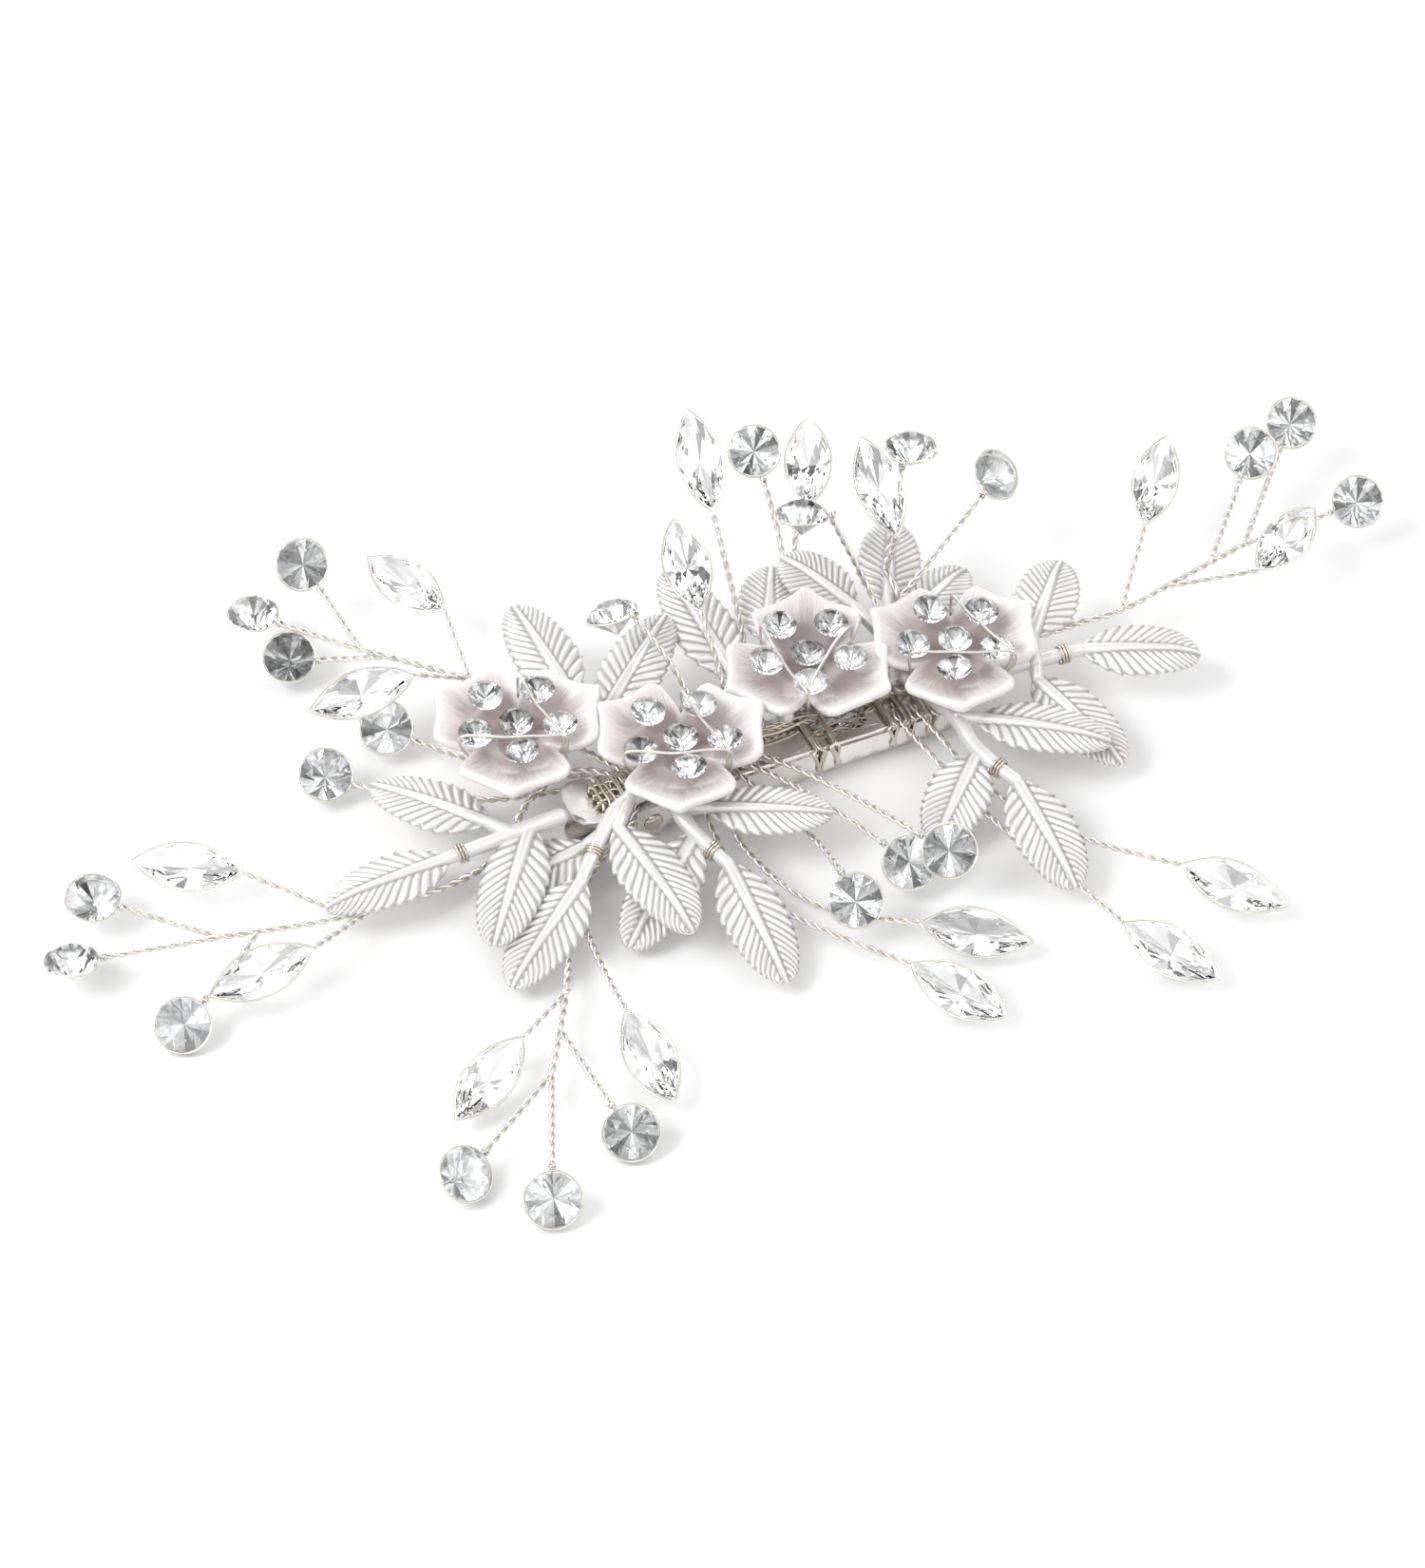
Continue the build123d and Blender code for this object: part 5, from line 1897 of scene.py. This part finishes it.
@dataclass
class Spray:
    """Spray of twisted wire stems, each looped round the girdle of a stone."""

    name: str
    trunks: Sequence
    rounds: Sequence
    marquises: Sequence
    finishes: Finishes
    loop_wire: float = 0.11

    def wires_and_seats(self) -> tuple[Stock, list[Seat], list[Seat]]:
        """Lay the stems and loops.

        Returns:
            The wire's mesh stock, the seats of the round stones and those of the marquises.
        """
        stock, rounds, marquises = Stock(), [], []
        stems = WireMaker()
        thick = WireMaker(strand=0.18, lay=0.21, pitch=2.6)
        loop_radius = ROUND_RADIUS + GAP + self.loop_wire
        for trunk in self.trunks:
            thick.twisted(stock, trunk)
        for centre, facing, stem in self.rounds:
            middle = Vector(centre)
            normal = tilted(*facing)
            back = Vector(stem[0]) - middle
            in_plane = back - normal * back.dot(normal)
            seat = Seat.facing(middle, in_plane, normal)
            rounds.append(seat)
            start = middle + in_plane.normalized() * (loop_radius + 0.1)
            stems.twisted(stock, [start, *stem])
            ring = turned_ring(48, loop_radius, 0)
            ring[:, 2] += 0.07 * np.sin(np.arange(48) * 2 * math.pi / 16)
            stems.hoop(stock, seat.place(ring), self.loop_wire)
            stems.winding(
                stock, np.array(start + in_plane.normalized() * 0.35), np.array(in_plane), 0.3, 1.6, 0.12
            )
        for heel, direction, stem in self.marquises:
            along = Vector(direction).normalized()
            middle = Vector(heel) + along * (MARQUISE_LENGTH / 2 + 0.7)
            seat = Seat.facing(middle, along, tilted(-115, 30))
            marquises.append(seat)
            stems.twisted(stock, [Vector(heel) + along * 0.2, *stem])
            ring = lens_ring(MARQUISE_LENGTH / 2 + 0.42, MARQUISE_WIDTH / 2 + GAP + self.loop_wire)
            ring[:, 2] += 0.06 * np.sin(np.arange(72) * 2 * math.pi / 18)
            stems.hoop(stock, seat.place(ring), self.loop_wire)
        return stock, rounds, marquises

    def build(self, cutter: GemCutter) -> None:
        """Make the spray's wires and stones.

        Args:
            cutter: cuts the stones.
        """
        stock, rounds, marquises = self.wires_and_seats()
        stock.make(
            f"{self.name}_twists", [self.finishes.twisted], Slot.TWISTED, replaced=[f"{self.name}_wires"]
        )
        if rounds:
            stones = Stock()
            for seat in rounds:
                cutter.round_stone(stones, seat, ROUND_RADIUS)
            stones.make(
                f"{self.name}_round_gems", [self.finishes.crystal, self.finishes.foil], Slot.ROUND_STONES,
                replaced=[f"{self.name}_round_stones"], smooth=False,
            )
        if marquises:
            stones = Stock()
            for seat in marquises:
                cutter.marquise(stones, seat)
            stones.make(
                f"{self.name}_marquise_gems", [self.finishes.clear, self.finishes.facet_shaded], Slot.MARQUISES,
                replaced=[f"{self.name}_marquise_stones"], smooth=False,
            )


@dataclass
class Studio:
    """Pale floor, soft lights and the camera."""

    floor_size: float = 3.0
    floor_colour: Colour = (0.95, 0.95, 0.95)
    azimuth: float = -25.0
    elevation: float = 48.0
    distance: float = 0.45
    lens: float = 108.0
    target: Point = (-0.007, -0.0046, 0.0067)
    surround: float = 0.82
    panel_scale: float = 1.9
    # place on the ramp and brightness of each kind of panel
    panels: tuple = ((0.0, 0.2), (0.2, 0.65), (0.38, 1.3), (0.6, 2.0), (0.85, 3.2))
    # name, place in metres, size in metres and power in watts of each light
    lights: tuple = (
        ("key_light", (-0.5, 0.05, 0.55), 0.36, 2.6),
        ("fill_light", (0.55, -0.35, 0.5), 0.5, 0.6),
        ("back_light", (0.15, 0.6, 0.45), 0.3, 0.9),
    )

    def floor(self, height: float) -> None:
        """Make the floor.

        Args:
            height: its height, in metres.
        """
        half = self.floor_size / 2
        mesh = bpy.data.meshes.new("floor")
        corners = [(x * half, y * half, height) for x, y in ((-1, -1), (1, -1), (1, 1), (-1, 1))]
        mesh.from_pydata(corners, [], [(0, 1, 2, 3)])
        material, tree, shader = new_material("studio_floor")
        noise = add_node(tree, "ShaderNodeTexNoise", Scale=40.0)
        low = tuple(0.985 * channel for channel in self.floor_colour)
        colour = mix_colours(tree, noise.outputs[0], (*low, 1), (*self.floor_colour, 1))
        fill(tree, shader, Base_Color=colour, Roughness=0.9, Specular_IOR_Level=0.1)
        mesh.materials.append(material)
        floor = bpy.data.objects.new("floor", mesh)
        bpy.context.scene.collection.objects.link(floor)
        floor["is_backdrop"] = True

    def sky(self) -> None:
        """Make the white surround, with soft dark and bright panels for the stones to mirror."""
        world = bpy.data.worlds.new("studio_surround")
        bpy.context.scene.world = world
        world.use_nodes = True
        tree = world.node_tree
        background = tree.nodes["Background"]
        direction = tree.nodes.new("ShaderNodeTexCoord").outputs["Generated"]
        panels = add_node(tree, "ShaderNodeTexVoronoi", Vector=direction, Scale=self.panel_scale)
        level = tree.nodes.new("ShaderNodeSeparateColor")
        tree.links.new(panels.outputs["Color"], level.inputs[0])
        ramp = tree.nodes.new("ShaderNodeValToRGB")
        ramp.color_ramp.interpolation = "CONSTANT"
        while len(ramp.color_ramp.elements) < len(self.panels):
            ramp.color_ramp.elements.new(0.5)
        for element, (place, value) in zip(ramp.color_ramp.elements, self.panels):
            element.position = place
            element.color = (value, value, value, 1)
        tree.links.new(level.outputs[0], ramp.inputs[0])
        rays = tree.nodes.new("ShaderNodeLightPath")
        glossy, through = rays.outputs["Is Glossy Ray"], rays.outputs["Is Transmission Ray"]
        mirrored = math_node(tree, "MAXIMUM", glossy, through)
        colour = mix_colours(tree, mirrored, (1.0, 1.0, 1.0, 1), ramp.outputs[0])
        fill(tree, background, Color=colour, Strength=self.surround)

    def light(self, name: str, place: Point, size: float, power: float) -> None:
        """Add a soft square light aimed at the clip.

        Args:
            name: the light's name.
            place: where it stands, in metres.
            size: its side, in metres.
            power: its power, in watts.
        """
        data = bpy.data.lights.new(name, "AREA")
        data.size = size
        data.energy = power
        lamp = bpy.data.objects.new(name, data)
        bpy.context.scene.collection.objects.link(lamp)
        lamp.location = place
        aim = Vector(self.target) - Vector(place)
        lamp.rotation_euler = aim.to_track_quat("-Z", "Y").to_euler()

    def camera(self) -> None:
        """Add the camera at the clip's showing angle."""
        a, e = math.radians(self.azimuth), math.radians(self.elevation)
        back = Vector((math.sin(a) * math.cos(e), -math.cos(a) * math.cos(e), math.sin(e)))
        data = bpy.data.cameras.new("camera")
        data.lens = self.lens
        data.sensor_width = 36.0
        data.clip_start = 0.01
        camera = bpy.data.objects.new("camera", data)
        bpy.context.scene.collection.objects.link(camera)
        camera.location = Vector(self.target) + back * self.distance
        camera.rotation_euler = (-back).to_track_quat("-Z", "Y").to_euler()
        bpy.context.scene.camera = camera

    def build(self, floor_height: float) -> None:
        """Make the studio.

        Args:
            floor_height: height of the floor, in metres.
        """
        self.floor(floor_height)
        self.sky()
        for lamp in self.lights:
            self.light(*lamp)
        self.camera()
        bpy.context.scene.view_settings.view_transform = "Standard"


def main() -> None:
    """Build the clip in order."""
    logging.basicConfig(level=logging.INFO, format="%(name)s %(message)s")
    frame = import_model()
    cad_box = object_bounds()
    finishes = Finishes()
    cutter = GemCutter()
    Clip(finishes, frame).build()
    BarBinding(finishes).build()
    for number in FLOWERS:
        Flower(number, finishes).build(cutter)
    for name, sprig in LEAF_SPRIGS.items():
        LeafSprig(name, sprig["rods"], sprig["leaves"], finishes).build()
    SprigTies(finishes).build()
    for name, spray in SPRAYS.items():
        Spray(name, spray["trunks"], spray["rounds"], spray["marquises"], finishes).build(cutter)
    visual_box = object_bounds()
    Studio().build(min(cad_box[0].z, visual_box[0].z) - FLOOR_GAP)


if __name__ == "__main__":
    main()
